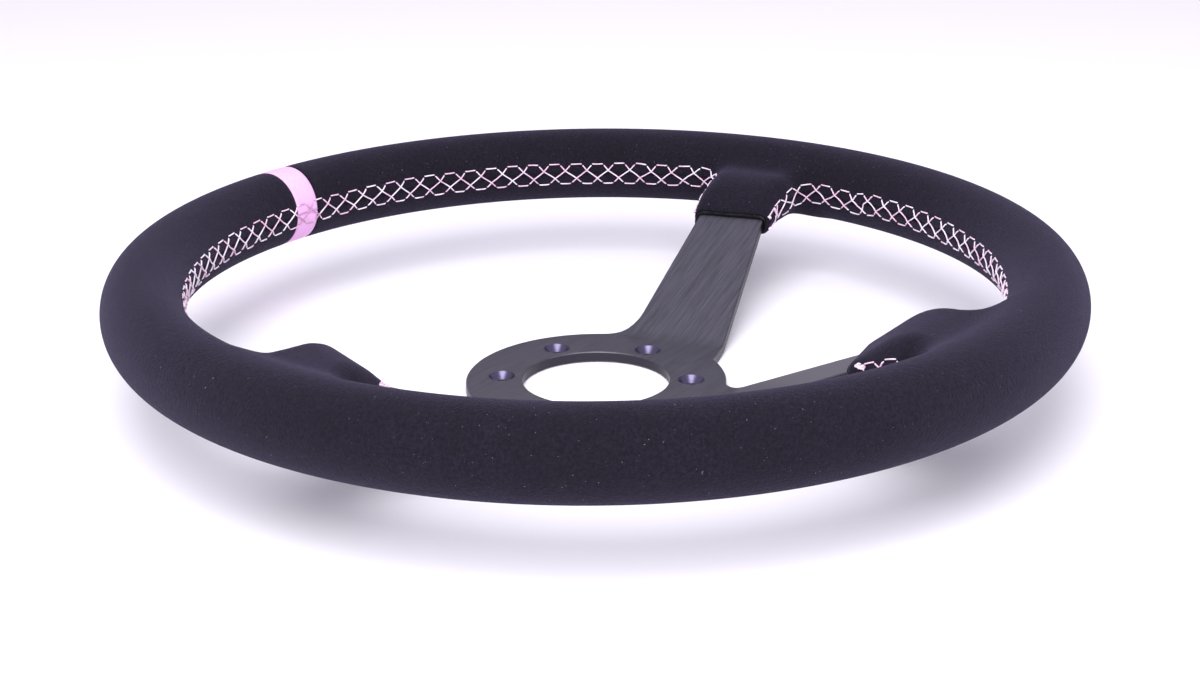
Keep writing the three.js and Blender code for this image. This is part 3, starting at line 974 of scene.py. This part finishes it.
def edge_loops(edges):
    """Groups edges that touch into loops."""
    pool = set(edges)
    loops = []
    while pool:
        loop = [pool.pop()]
        waiting = loop[:]
        while waiting:
            edge = waiting.pop()
            for vert in edge.verts:
                for other in vert.link_edges:
                    if other in pool:
                        pool.remove(other)
                        loop.append(other)
                        waiting.append(other)
        loops.append(loop)
    return loops


def loop_middle(edges):
    """The average place of a loop's edges."""
    total = Vector()
    for edge in edges:
        total += (edge.verts[0].co + edge.verts[1].co) / 2
    return total / len(edges)


def make_suede():
    """The suede and the stripe, each a closed shell between a fine outer and a coarse inner face."""
    settings = bpy.context.scene.wheel_suede
    rough = rough_grip()
    remesh = rough.modifiers.new("Grid", "REMESH")
    remesh.mode = "VOXEL"
    remesh.voxel_size = settings.grid
    coarse = evaluated_copy(rough, "suede_inside")
    remove_object(rough)
    relax(coarse, 12)
    finer = add_object("suede_outside", coarse.copy())
    finer.modifiers.new("Finer", "SUBSURF").levels = 1
    fine = evaluated_copy(finer, "suede_outside")
    remove_object(finer)
    relax(fine, 2)
    make_foam(coarse)
    for name, stripe, slot, node in (
            ("suede_wrap", False, "suede_black", "suede_cover"),
            ("stripe_band", True, "suede_pink", "centre_stripe")):
        outer = suede_skin(fine, stripe, True)
        roll_edges(outer, stripe)
        shell = close_skin(outer, suede_skin(coarse, stripe, False))
        mesh = bpy.data.meshes.new(name)
        shell.to_mesh(mesh)
        shell.free()
        shade(mesh)
        piece = add_object(name, mesh)
        if stripe:
            material = suede_finish(settings.pink, *PINK_FINISH)
        else:
            material = suede_finish(settings.black, *BLACK_FINISH)
        finish_piece(piece, material, slot, node)


FOAM_GAP = 0.25 * MM  # between the foam and the suede's inner face
FOAM_SETBACK = 1 * MM  # how far the foam stops short of each lip


def make_foam(mesh):
    """The moulded foam just under the suede, flat across the end of each root."""
    points = mesh_points(mesh)
    points = points - grip_normals(points) * (SUEDE + FOAM_GAP)
    for spoke in SPOKES:
        u, s = spoke.local(points)
        past, shift = spoke.past_lip(u, s)
        short = (np.abs(s) < ROOT_NEAR) & (u > ROOT_START) & (past < FOAM_SETBACK)
        flush = spoke.world(spoke.lip + shift + FOAM_SETBACK, s, points[:, 2])
        points = np.where(short[:, None], flush, points)
    core = mesh.copy()
    core.name = "foam_core"
    set_mesh_points(core, points)
    shade(core)
    finish_piece(add_object("foam_core", core), foam_finish(), "foam", "grip_foam")


# ---- Edge beads ----

def rounded_loop(half_width, low, high, radius, count):
    """A rounded rectangle in s and z as count evenly spread points."""
    half_height = (high - low) / 2
    turns = np.linspace(0, 2 * math.pi, 4 * count, endpoint=False)
    corner_s = np.sign(np.cos(turns)) * (half_width - radius)
    corner_z = np.sign(np.sin(turns)) * (half_height - radius)
    points = np.stack([corner_s + radius * np.cos(turns), corner_z + radius * np.sin(turns)], axis=1)
    points = np.concatenate([points, points[:1]])
    steps = np.concatenate([[0], np.cumsum(np.linalg.norm(np.diff(points, axis=0), axis=1))])
    even = np.linspace(0, steps[-1], count, endpoint=False)
    s = np.interp(even, steps, points[:, 0])
    z = np.interp(even, steps, points[:, 1])
    return s, z + (low + high) / 2


BEAD_POINTS = 150
BEAD_PROFILE = 9
BEAD_SETBACK = 0.85 * MM  # from the suede's outer face to the bead's outer edge
BEAD_OVERLAP = 0.2 * MM  # how far the bead's inner edge reaches into the plate
BEAD_BULGE = 0.55 * MM
BEAD_ROOT = 1.2 * MM  # how far the bead reaches under the suede


def make_edge_beads():
    """A closed, slightly uneven bead between each spoke and the suede's lip."""
    material = bead_finish()
    for spoke in SPOKES:
        top = float(plate_rise(spoke.lip)[0])
        half = float(plate_half_width(spoke.lip))
        lip_round = bpy.context.scene.wheel_suede.lip_round
        outer_s, outer_z = rounded_loop(
            half + FLAP_LIFT - BEAD_SETBACK, top - PLATE_FALL - FLAP_LIFT + BEAD_SETBACK,
            top + FLAP_LIFT - BEAD_SETBACK, lip_round, BEAD_POINTS)
        inner_s, inner_z = rounded_loop(
            half - BEAD_OVERLAP, top - PLATE_FALL + BEAD_OVERLAP, top - BEAD_OVERLAP,
            0.4 * MM, BEAD_POINTS)
        turns = 2 * math.pi * np.arange(BEAD_POINTS) / BEAD_POINTS
        uneven = 1 + 0.18 * np.sin(5 * turns + 0.4)
        uneven = uneven + 0.13 * np.sin(13 * turns + 1.9) + 0.08 * np.sin(29 * turns)

        def ring_at(share, u):
            s = outer_s + (inner_s - outer_s) * share
            z = outer_z + (inner_z - outer_z) * share
            return spoke.world(u + spoke.slant * s, s, z + SPOKE_SLOPE * spoke.slant * s)

        rows = []
        for q in np.linspace(0, 1, BEAD_PROFILE):
            bulge = BEAD_BULGE * math.sin(math.pi * (0.15 + 0.8 * q)) ** 0.8
            rows.append(ring_at(0.9 * q, spoke.lip + 0.35 * MM - bulge * uneven))
        rows += [ring_at(q, spoke.lip + BEAD_ROOT) for q in (0.9, 0)]
        verts = np.concatenate(rows)
        mesh = mesh_from(f"{spoke.name}_bead", verts, closed_grid(len(rows), BEAD_POINTS))
        bm = bmesh.new()
        bm.from_mesh(mesh)
        bmesh.ops.recalc_face_normals(bm, faces=bm.faces[:])
        bm.to_mesh(mesh)
        bm.free()
        shade(mesh)
        piece = add_object(f"{spoke.name}_sealing_bead", mesh)
        finish_piece(piece, material, "edge_black", f"{spoke.name}_edge_bead")


# ---- Stitches ----

SEAM_STEP = 1 * MM
SEAM_LEAVES_ROOT = 138 * MM  # how far along a spoke the seam turns from the root to the rim
SEAM_GAP = math.radians(4)  # of the rim left out beside each root, for the turn to be smoothed


def seam_path(first, second):
    """The seam's middle line from one root's left side round the rim to the next root's right side."""
    stretches = []
    for spoke, side in ((first, 1), (second, -1)):
        lip = spoke.lip + spoke.slant * side * LIP_SIDE
        u = np.arange(lip + 0.5 * MM, SEAM_LEAVES_ROOT, SEAM_STEP)
        s = side * root_half_width(spoke, u, np.full(u.shape, side * ROOT_SIDE))
        stretches.append(spoke.world(u, s, np.zeros(u.shape)))
    stretches[1] = stretches[1][::-1]
    start, end = (math.atan2(point[1], point[0]) for point in (stretches[0][-1], stretches[1][0]))
    sweep = (end - start - 2 * SEAM_GAP) % (2 * math.pi)
    inner = TUBE_RADIUS - GRIP_HALF_WIDTH
    turns = start + SEAM_GAP + np.linspace(0, sweep, int(sweep * inner / SEAM_STEP))
    arc = np.stack([inner * np.cos(turns), inner * np.sin(turns), np.zeros(turns.shape)], axis=1)
    path = np.concatenate([stretches[0], arc, stretches[1]])
    for _ in range(30):
        path[:, 2] = seam_height(path)
        path = onto_grip(path, 1, level=True)
        path[1:-1] += 0.5 * ((path[:-2] + path[2:]) / 2 - path[1:-1])
    path[:, 2] = seam_height(path)
    return onto_grip(path, 2, level=True)


def seam_reach(points):
    """Half width of the stitching, narrower on a root's thin side near its lip."""
    reach = np.full(len(points), bpy.context.scene.wheel_thread.reach)
    near_lip = smooth_step(1 - depth_past_lip(points) / (24 * MM))
    return reach - 1.7 * MM * near_lip


STRIP_REACH = 1.4  # the strip's half width for each half width of the stitches
STRIP_STEPS = 7


def seam_strip(name, path):
    """The strip of suede under a run of stitches, with its own flat map of distance and height."""
    reach = seam_reach(path)
    rows = {0: path}
    for side in (-1, 1):
        row = path
        for step in range(1, STRIP_STEPS + 1):
            across = np.cross(np.gradient(row, axis=0), grip_normals(row))
            across /= np.linalg.norm(across, axis=1, keepdims=True)
            row = row + side * across * (reach * STRIP_REACH / STRIP_STEPS)[:, None]
            for _ in range(4):
                row[1:-1] += 0.5 * ((row[:-2] + row[2:]) / 2 - row[1:-1])
                row = onto_grip(row, 1)
            rows[side * step] = row
    order = range(-STRIP_STEPS, STRIP_STEPS + 1)
    points = np.stack([rows[step] for step in order])
    gone = np.linalg.norm(np.diff(path, axis=0), axis=1)
    distance = np.concatenate([[0], np.cumsum(gone)])
    flat = np.zeros(points.shape)
    flat[..., 0] = distance
    flat[..., 1] = (np.array(order) * STRIP_REACH / STRIP_STEPS)[:, None]
    count = len(path)
    faces = []
    for row in range(2 * STRIP_STEPS):
        for i in range(count - 1):
            corner = row * count + i
            faces.append((corner, corner + 1, corner + count + 1, corner + count))
    mesh = mesh_from(name, points.reshape(-1, 3), faces)
    for label, values in (("flat", flat), ("up", grip_normals(points))):
        attribute = mesh.attributes.new(label, "FLOAT_VECTOR", "POINT")
        attribute.data.foreach_set("vector", np.ascontiguousarray(values).ravel())
    return add_object(name, mesh), distance[-1]


END_LENGTH = 8 * MM  # from a lip to the first whole stitch
FIRST_REPEAT = 0.75  # repeats from there to the first repeat's origin

# One repeat of the stitch. Each line's corners are given along and across the seam.
DASH_ABOVE = [(0.26, 1.02), (0.74, 1.02)]
DASH_BELOW = [(-0.24, -1.02), (0.24, -1.02)]
LINE_UNDER = [(0.79, 0.88), (1.0, 0.38), (1.5, -0.38), (1.71, -0.88)]
LINE_OVER = [(0.21, 0.88), (0.0, 0.38), (-0.5, -0.38), (-0.71, -0.88)]


NEEDLE_DEPTH = 0.9  # how far a thread's ends sink into the suede, in thread radii
NEEDLE_RISE = 0.55 * MM  # length over which it comes up
HUMP_HEIGHT = 1.5  # how far a thread rises over another, in thread radii
HUMP_LENGTH = 1.1 * MM


def thread_line(corners, stretch, humps=(), height=0.8):
    """Points of one thread on the flat map, rising from its needle holes and over other threads."""
    corners = np.array(corners, dtype=float) * (stretch, 1)
    spread = corners * (1, bpy.context.scene.wheel_thread.reach)
    gone = np.linalg.norm(np.diff(spread, axis=0), axis=1)
    marks = np.concatenate([[0], np.cumsum(gone)])
    along = np.linspace(0, marks[-1], max(7, int(marks[-1] / (0.5 * MM))))
    x = np.interp(along, marks, corners[:, 0])
    y = np.interp(along, marks, corners[:, 1])
    edge = np.minimum(along, marks[-1] - along)
    lift = (height + NEEDLE_DEPTH) * np.clip(edge / NEEDLE_RISE, 0, 1) ** 0.6 - NEEDLE_DEPTH
    for hump in humps:
        lift += HUMP_HEIGHT * np.exp(-((along - marks[hump]) / HUMP_LENGTH) ** 2)
    return np.stack([x, y, lift], axis=1)


def lines_object(name, lines):
    """Threads on the flat map as one object of open lines."""
    edges = []
    start = 0
    for line in lines:
        edges += [(start + i, start + i + 1) for i in range(len(line) - 1)]
        start += len(line)
    mesh = bpy.data.meshes.new(name)
    mesh.from_pydata([tuple(point) for line in lines for point in line], edges, [])
    return add_object(name, mesh)


def stitch_repeat():
    """One repeat of the cross stitch, whose upper threads pass over the lower ones."""
    pitch = bpy.context.scene.wheel_thread.pitch
    lines = [
        thread_line(DASH_ABOVE, pitch),
        thread_line(DASH_BELOW, pitch),
        thread_line(LINE_UNDER, pitch),
        thread_line(LINE_OVER, pitch, humps=(1, 2)),
    ]
    return lines_object("stitch_repeat", lines)


def end_lines(spoke):
    """The last threads at a root's lip, measured from the run's end."""
    if not spoke.rails:
        return [
            thread_line([(5.8, 0.7), (7.6, 1)], MM),
            thread_line([(6.0, -0.5), (7.8, -1)], MM),
        ]
    rails = [
        thread_line([(1.3, 1), (6.9, 0.94)], MM),
        thread_line([(1.2, -1), (5.8, -1), (7.2, -0.35)], MM),
        thread_line([(7.4, -0.5), (9.6, 1)], MM),
    ]
    wraps = [(6.4, 7.8), (6.8, 8.2), (7.2, 8.6), (6.7, 7.9)]
    return rails + [
        thread_line([(low, 0.98), (high, -0.55)], MM, height=1.1 + 0.5 * (index % 2))
        for index, (low, high) in enumerate(wraps)]


def run_ends(name, first, second, distance, pitch, count):
    """Both ends of a run: its last threads, and the parts of the repeat that close its zigzags."""
    lines = end_lines(first)
    for line in end_lines(second):
        line[:, 0] = distance - line[:, 0]
        lines.append(line)
    start = END_LENGTH + FIRST_REPEAT * pitch
    closing = (
        (DASH_ABOVE, -1), (LINE_UNDER, -1),
        (DASH_ABOVE, count), (DASH_BELOW, count), (LINE_OVER, count))
    for corners, shift in closing:
        line = thread_line([(x + shift, y) for x, y in corners], pitch)
        line[:, 0] += start
        lines.append(line)
    return lines_object(name, lines)


THREAD_SIDES = 7


class Tree:
    """A geometry node tree under construction."""

    def __init__(self, name):
        self.tree = bpy.data.node_groups.new(name, "GeometryNodeTree")
        self.tree.is_modifier = True
        self.inputs = {}
        self.add_socket("Geometry", "NodeSocketGeometry", None)
        self.tree.interface.new_socket("Geometry", in_out="OUTPUT", socket_type="NodeSocketGeometry")
        self.start = self.tree.nodes.new("NodeGroupInput")
        self.end = self.tree.nodes.new("NodeGroupOutput")

    def add_socket(self, name, kind, default):
        socket = self.tree.interface.new_socket(name, in_out="INPUT", socket_type=kind)
        if default is not None:
            socket.default_value = default
        self.inputs[name] = socket.identifier

    def node(self, kind, sockets=(), **options):
        """Adds a node. Sockets give its inputs by name or number, as outputs or as values."""
        node = self.tree.nodes.new(kind)
        for key, value in options.items():
            setattr(node, key, value)
        for key, value in dict(sockets).items():
            socket = node.inputs[key]
            if isinstance(value, bpy.types.NodeSocket):
                self.tree.links.new(value, socket)
            else:
                socket.default_value = value
        return node

    def math(self, operation, *values):
        return self.node("ShaderNodeMath", dict(enumerate(values)), operation=operation).outputs[0]

    def vector(self, operation, *values):
        return self.node("ShaderNodeVectorMath", dict(enumerate(values)), operation=operation)

    def given(self, name):
        return self.start.outputs[name]


def stitch_tree():
    """Repeats the stitch along a flat line and lays it on the strip of suede it was given."""
    build = Tree("Cross stitch")
    build.add_socket("Repeat", "NodeSocketObject", None)
    build.add_socket("Ends", "NodeSocketObject", None)
    build.add_socket("Start", "NodeSocketFloat", 12 * MM)
    build.add_socket("Pitch", "NodeSocketFloat", 9.2 * MM)
    build.add_socket("Count", "NodeSocketInt", 20)
    build.add_socket("Thread Radius", "NodeSocketFloat", 0.28 * MM)
    build.add_socket("Unevenness", "NodeSocketFloat", 0.3 * MM)
    build.add_socket("Seed", "NodeSocketInt", 4)
    build.add_socket("Material", "NodeSocketMaterial", None)

    first = build.node("ShaderNodeCombineXYZ", {"X": build.given("Start")})
    step = build.node("ShaderNodeCombineXYZ", {"X": build.given("Pitch")})
    holes = build.node(
        "GeometryNodeMeshLine",
        {"Count": build.given("Count"), "Start Location": first.outputs[0], "Offset": step.outputs[0]},
        mode="OFFSET", count_mode="TOTAL")
    repeat = build.node("GeometryNodeObjectInfo", {"Object": build.given("Repeat")})
    ends = build.node("GeometryNodeObjectInfo", {"Object": build.given("Ends")})
    placed = build.node(
        "GeometryNodeInstanceOnPoints",
        {"Points": holes.outputs[0], "Instance": repeat.outputs["Geometry"]})
    real = build.node("GeometryNodeRealizeInstances", {"Geometry": placed.outputs[0]})
    joined = build.node("GeometryNodeJoinGeometry")
    build.tree.links.new(real.outputs[0], joined.inputs[0])
    build.tree.links.new(ends.outputs["Geometry"], joined.inputs[0])
    curves = build.node("GeometryNodeMeshToCurve", {"Mesh": joined.outputs[0]})

    place = build.node("GeometryNodeInputPosition")
    stretched = build.vector("MULTIPLY", place.outputs[0], (90.0, 0.35, 0.0))
    waver = build.node(
        "ShaderNodeTexNoise",
        {"Vector": stretched.outputs[0], "W": build.math("MULTIPLY", build.given("Seed"), 1.7),
         "Scale": 1.0, "Detail": 1.0},
        noise_dimensions="4D")
    centred = build.vector("SUBTRACT", waver.outputs["Color"], (0.5, 0.5, 0.5))
    sway = build.node(
        "ShaderNodeCombineXYZ",
        {"X": build.math("MULTIPLY", build.given("Unevenness"), 4.0),
         "Y": build.math("MULTIPLY", build.given("Unevenness"), 900.0)})
    drift = build.vector("MULTIPLY", centred.outputs[0], sway.outputs[0])
    wanted = build.vector("ADD", place.outputs[0], drift.outputs[0])
    flat = build.node("GeometryNodeInputNamedAttribute", {"Name": "flat"}, data_type="FLOAT_VECTOR")
    up = build.node("GeometryNodeInputNamedAttribute", {"Name": "up"}, data_type="FLOAT_VECTOR")
    samples = []
    for value in (place.outputs[0], up.outputs["Attribute"]):
        sample = build.node(
            "GeometryNodeSampleUVSurface",
            {"Mesh": build.given("Geometry"), "Value": value, "UV Map": flat.outputs["Attribute"],
             "Sample UV": wanted.outputs[0]},
            data_type="FLOAT_VECTOR")
        samples.append(sample.outputs[0])
    split = build.node("ShaderNodeSeparateXYZ", {"Vector": place.outputs[0]})
    lift = build.math("MULTIPLY", split.outputs["Z"], build.given("Thread Radius"))
    raised = build.node("ShaderNodeVectorMath", {0: samples[1], "Scale": lift}, operation="SCALE")
    laid = build.vector("ADD", samples[0], raised.outputs[0])
    moved = build.node(
        "GeometryNodeSetPosition", {"Geometry": curves.outputs[0], "Position": laid.outputs[0]})
    ring = build.node(
        "GeometryNodeCurvePrimitiveCircle",
        {"Resolution": THREAD_SIDES, "Radius": build.given("Thread Radius")})
    tube = build.node(
        "GeometryNodeCurveToMesh",
        {"Curve": moved.outputs[0], "Profile Curve": ring.outputs[0], "Fill Caps": True})
    solid = build.node("GeometryNodeRealizeInstances", {"Geometry": tube.outputs[0]})
    dressed = build.node(
        "GeometryNodeSetMaterial", {"Geometry": solid.outputs[0], "Material": build.given("Material")})
    build.tree.links.new(dressed.outputs[0], build.end.inputs[0])
    return build


# Each root's two knots: depth past the lip, height over the seam, and size, in millimetres.
KNOTS = {
    "lower": [(4.4, 3.4, 0.9), (6.4, 2.4, 0.8)],
    "right": [(1.2, 2.4, 0.5), (1.2, -2.4, 0.5)],
    "left": [(1.0, 5.8, 0.8), (4.4, 5.6, 1.0)],
}
KNOT_STEPS = 60


def knot_mesh(centre, normal, along, size, radius):
    """A small overhand knot of thread, pulled tight, as a closed tube."""
    side = normal.cross(along).normalized()
    centres = []
    for i in range(KNOT_STEPS):
        t = 2 * math.pi * i / KNOT_STEPS
        x = (math.sin(t) + 2 * math.sin(2 * t)) / 3
        y = (math.cos(t) - 2 * math.cos(2 * t)) / 3
        z = -math.sin(3 * t) * 0.45
        centres.append(centre + size * (along * x * 1.1 + side * y + normal * (z + 0.35)))
    verts = []
    for i, point in enumerate(centres):
        tangent = (centres[(i + 1) % KNOT_STEPS] - centres[i - 1]).normalized()
        first = tangent.cross(normal).normalized()
        second = tangent.cross(first)
        for j in range(THREAD_SIDES):
            turn = 2 * math.pi * j / THREAD_SIDES
            verts.append(point + radius * (first * math.cos(turn) + second * math.sin(turn)))
    return verts, closed_grid(KNOT_STEPS, THREAD_SIDES)


def add_knots(mesh, spoke, side):
    """Two knots that end a run of stitches beside a root's lip."""
    settings = bpy.context.scene.wheel_thread
    bm = bmesh.new()
    bm.from_mesh(mesh)
    for depth, height, size in KNOTS[spoke.name]:
        u = np.array([spoke.lip + spoke.slant * side * LIP_SIDE + depth * MM])
        s = side * root_half_width(spoke, u, np.array([side * ROOT_SIDE]))
        spot = spoke.world(u, s, u * 0)
        spot[:, 2] = seam_height(spot) + height * MM
        spot = onto_grip(spot, 6, level=True)
        normal = Vector(grip_normals(spot)[0])
        along = Vector((*spoke.along, SPOKE_SLOPE)).normalized()
        verts, faces = knot_mesh(Vector(spot[0]), normal, along, size * MM, settings.radius)
        made = [bm.verts.new(v) for v in verts]
        new = [bm.faces.new([made[i] for i in face]) for face in faces]
        bmesh.ops.recalc_face_normals(bm, faces=new)
    bm.to_mesh(mesh)
    bm.free()


def make_threads():
    """The three runs of cross stitch, each sewn from one root round to the next."""
    settings = bpy.context.scene.wheel_thread
    material = thread_finish()
    build = stitch_tree()
    repeat = stitch_repeat()
    for name, (first, second) in THREAD_RUNS.items():
        strip, distance = seam_strip(f"strip_{name}", seam_path(SPOKES[first], SPOKES[second]))
        span = distance - 2 * END_LENGTH
        count = round(span / settings.pitch - 2 * FIRST_REPEAT)
        pitch = span / (count + 2 * FIRST_REPEAT)
        ends = run_ends(f"ends_{name}", SPOKES[first], SPOKES[second], distance, pitch, count)
        stitches = strip.modifiers.new("Stitches", "NODES")
        stitches.node_group = build.tree
        given = {
            "Repeat": repeat,
            "Ends": ends,
            "Start": END_LENGTH + FIRST_REPEAT * pitch,
            "Pitch": pitch,
            "Count": count,
            "Thread Radius": settings.radius,
            "Unevenness": settings.unevenness,
            "Seed": settings.seed,
            "Material": material,
        }
        for label, value in given.items():
            stitches[build.inputs[label]] = value
        mesh = evaluated_copy(strip, f"stitches_{name}")
        remove_object(strip)
        remove_object(ends)
        add_knots(mesh, SPOKES[first], 1)
        add_knots(mesh, SPOKES[second], -1)
        shade(mesh)
        piece = add_object(f"stitches_{name}", mesh)
        finish_piece(piece, material, "thread_pink", f"thread_{name}")
    remove_object(repeat)


# ---- Inner frame ----

def dress_inner_frame():
    """Gives the hidden steel its finish; its shapes are the frame's own."""
    steel = steel_finish()
    for name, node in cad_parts.items():
        if name == "rim_hoop" or name.endswith("_lug") or "_rivet_" in name:
            node.data.materials.clear()
            node.data.materials.append(steel)


# ---- Stage ----

FLOOR_REACH = 6.0
FLOOR_DROP = 0.3 * MM
LAMP_TARGET = Vector((0, 0, 0.03))


def make_stage():
    """A pale floor, a bright room that dims overhead, two soft lamps and the camera."""
    settings = bpy.context.scene.wheel_stage
    scene = bpy.context.scene
    scene.view_settings.view_transform = "Standard"

    corners = [(FLOOR_REACH * x, FLOOR_REACH * y) for x, y in ((-1, -1), (1, -1), (1, 1), (-1, 1))]
    mesh = mesh_from("floor", [(x, y, -FLOOR_DROP) for x, y in corners], [(0, 1, 2, 3)])
    mesh.materials.append(floor_finish())
    add_object("studio_floor", mesh)

    world = bpy.data.worlds.new("studio")
    world.use_nodes = True
    nodes, links = world.node_tree.nodes, world.node_tree.links
    backdrop = nodes["Background"]
    backdrop.inputs["Strength"].default_value = 1.0
    sky = nodes.new("ShaderNodeTexCoord")
    split = nodes.new("ShaderNodeSeparateXYZ")
    fade = nodes.new("ShaderNodeValToRGB")
    stops = ((0.15, (0.85, 0.82, 0.92, 1)), (0.85, (0.64, 0.62, 0.7, 1)))
    for element, (position, tint) in zip(fade.color_ramp.elements, stops):
        element.position = position
        element.color = tint
    links.new(sky.outputs["Generated"], split.inputs["Vector"])
    links.new(split.outputs["Z"], fade.inputs["Fac"])
    links.new(fade.outputs["Color"], backdrop.inputs["Color"])
    scene.world = world

    for name, place, size, power in (
            ("front_box", (-0.82, -0.42, 0.95), 1.1, 19.0),
            ("overhead", (-0.3, -0.2, 1.4), 1.3, 5.5)):
        light = bpy.data.lights.new(name, "AREA")
        light.shape = "DISK"
        light.size = size
        light.energy = power
        lamp = bpy.data.objects.new(name, light)
        lamp.location = place
        lamp.rotation_euler = (LAMP_TARGET - Vector(place)).to_track_quat("-Z", "Y").to_euler()
        scene.collection.objects.link(lamp)

    camera = bpy.data.cameras.new("camera")
    camera.lens = settings.lens
    camera.sensor_width = 36
    holder = bpy.data.objects.new("camera", camera)
    view = Vector(settings.target) - Vector(settings.eye)
    turn = view.to_track_quat("-Z", "Y").to_matrix() @ Matrix.Rotation(settings.roll, 3, "Z")
    holder.matrix_world = Matrix.Translation(settings.eye) @ turn.to_4x4()
    scene.collection.objects.link(holder)
    scene.camera = holder


# ---- Operators and panel ----

class WHEEL_OT_stage(bpy.types.Operator):
    """Sets up the floor, the soft lights and the camera"""
    bl_idname = "wheel.stage"
    bl_label = "Stage"

    def execute(self, context):
        make_stage()
        return {"FINISHED"}


class WHEEL_OT_inner_frame(bpy.types.Operator):
    """Gives the hoop, lugs and rivets their finish"""
    bl_idname = "wheel.inner_frame"
    bl_label = "Inner frame"

    def execute(self, context):
        dress_inner_frame()
        return {"FINISHED"}


class WHEEL_OT_spoke_plate(bpy.types.Operator):
    """Makes the bent, brushed and anodised spoke plate"""
    bl_idname = "wheel.spoke_plate"
    bl_label = "Spoke plate"

    def execute(self, context):
        make_spoke_plate()
        return {"FINISHED"}


class WHEEL_OT_suede(bpy.types.Operator):
    """Stretches the black suede and the pink stripe over the grip"""
    bl_idname = "wheel.suede"
    bl_label = "Suede and stripe"

    def execute(self, context):
        make_suede()
        return {"FINISHED"}


class WHEEL_OT_edge_beads(bpy.types.Operator):
    """Seals the suede's edge round each spoke"""
    bl_idname = "wheel.edge_beads"
    bl_label = "Edge beads"

    def execute(self, context):
        make_edge_beads()
        return {"FINISHED"}


class WHEEL_OT_threads(bpy.types.Operator):
    """Sews the cross stitches along the grip's inner seam"""
    bl_idname = "wheel.threads"
    bl_label = "Stitches"

    def execute(self, context):
        make_threads()
        return {"FINISHED"}


OPERATORS = [
    WHEEL_OT_stage, WHEEL_OT_inner_frame, WHEEL_OT_spoke_plate, WHEEL_OT_suede, WHEEL_OT_edge_beads,
    WHEEL_OT_threads]
SETTINGS = {
    "wheel_suede": WheelSuedeSettings,
    "wheel_thread": WheelThreadSettings,
    "wheel_plate": WheelPlateSettings,
    "wheel_stage": WheelStageSettings,
}


class WHEEL_PT_panel(bpy.types.Panel):
    bl_idname = "WHEEL_PT_panel"
    bl_label = "Steering wheel"
    bl_space_type = "VIEW_3D"
    bl_region_type = "UI"
    bl_category = "Wheel"

    def draw(self, context):
        for name, group in SETTINGS.items():
            box = self.layout.box()
            settings = getattr(context.scene, name)
            for field in group.__annotations__:
                box.prop(settings, field)
        for operator in OPERATORS:
            self.layout.operator(operator.bl_idname)


def register():
    for group in SETTINGS.values():
        bpy.utils.register_class(group)
    for operator in OPERATORS:
        bpy.utils.register_class(operator)
    bpy.utils.register_class(WHEEL_PT_panel)
    for name, group in SETTINGS.items():
        setattr(bpy.types.Scene, name, PointerProperty(type=group))


def unregister():
    for name in SETTINGS:
        delattr(bpy.types.Scene, name)
    bpy.utils.unregister_class(WHEEL_PT_panel)
    for operator in reversed(OPERATORS):
        bpy.utils.unregister_class(operator)
    for group in SETTINGS.values():
        bpy.utils.unregister_class(group)


def main():
    register()
    bpy.ops.wheel.stage()
    bpy.ops.wheel.inner_frame()
    bpy.ops.wheel.spoke_plate()
    bpy.ops.wheel.suede()
    bpy.ops.wheel.edge_beads()
    bpy.ops.wheel.threads()


if __name__ == "__main__":
    main()
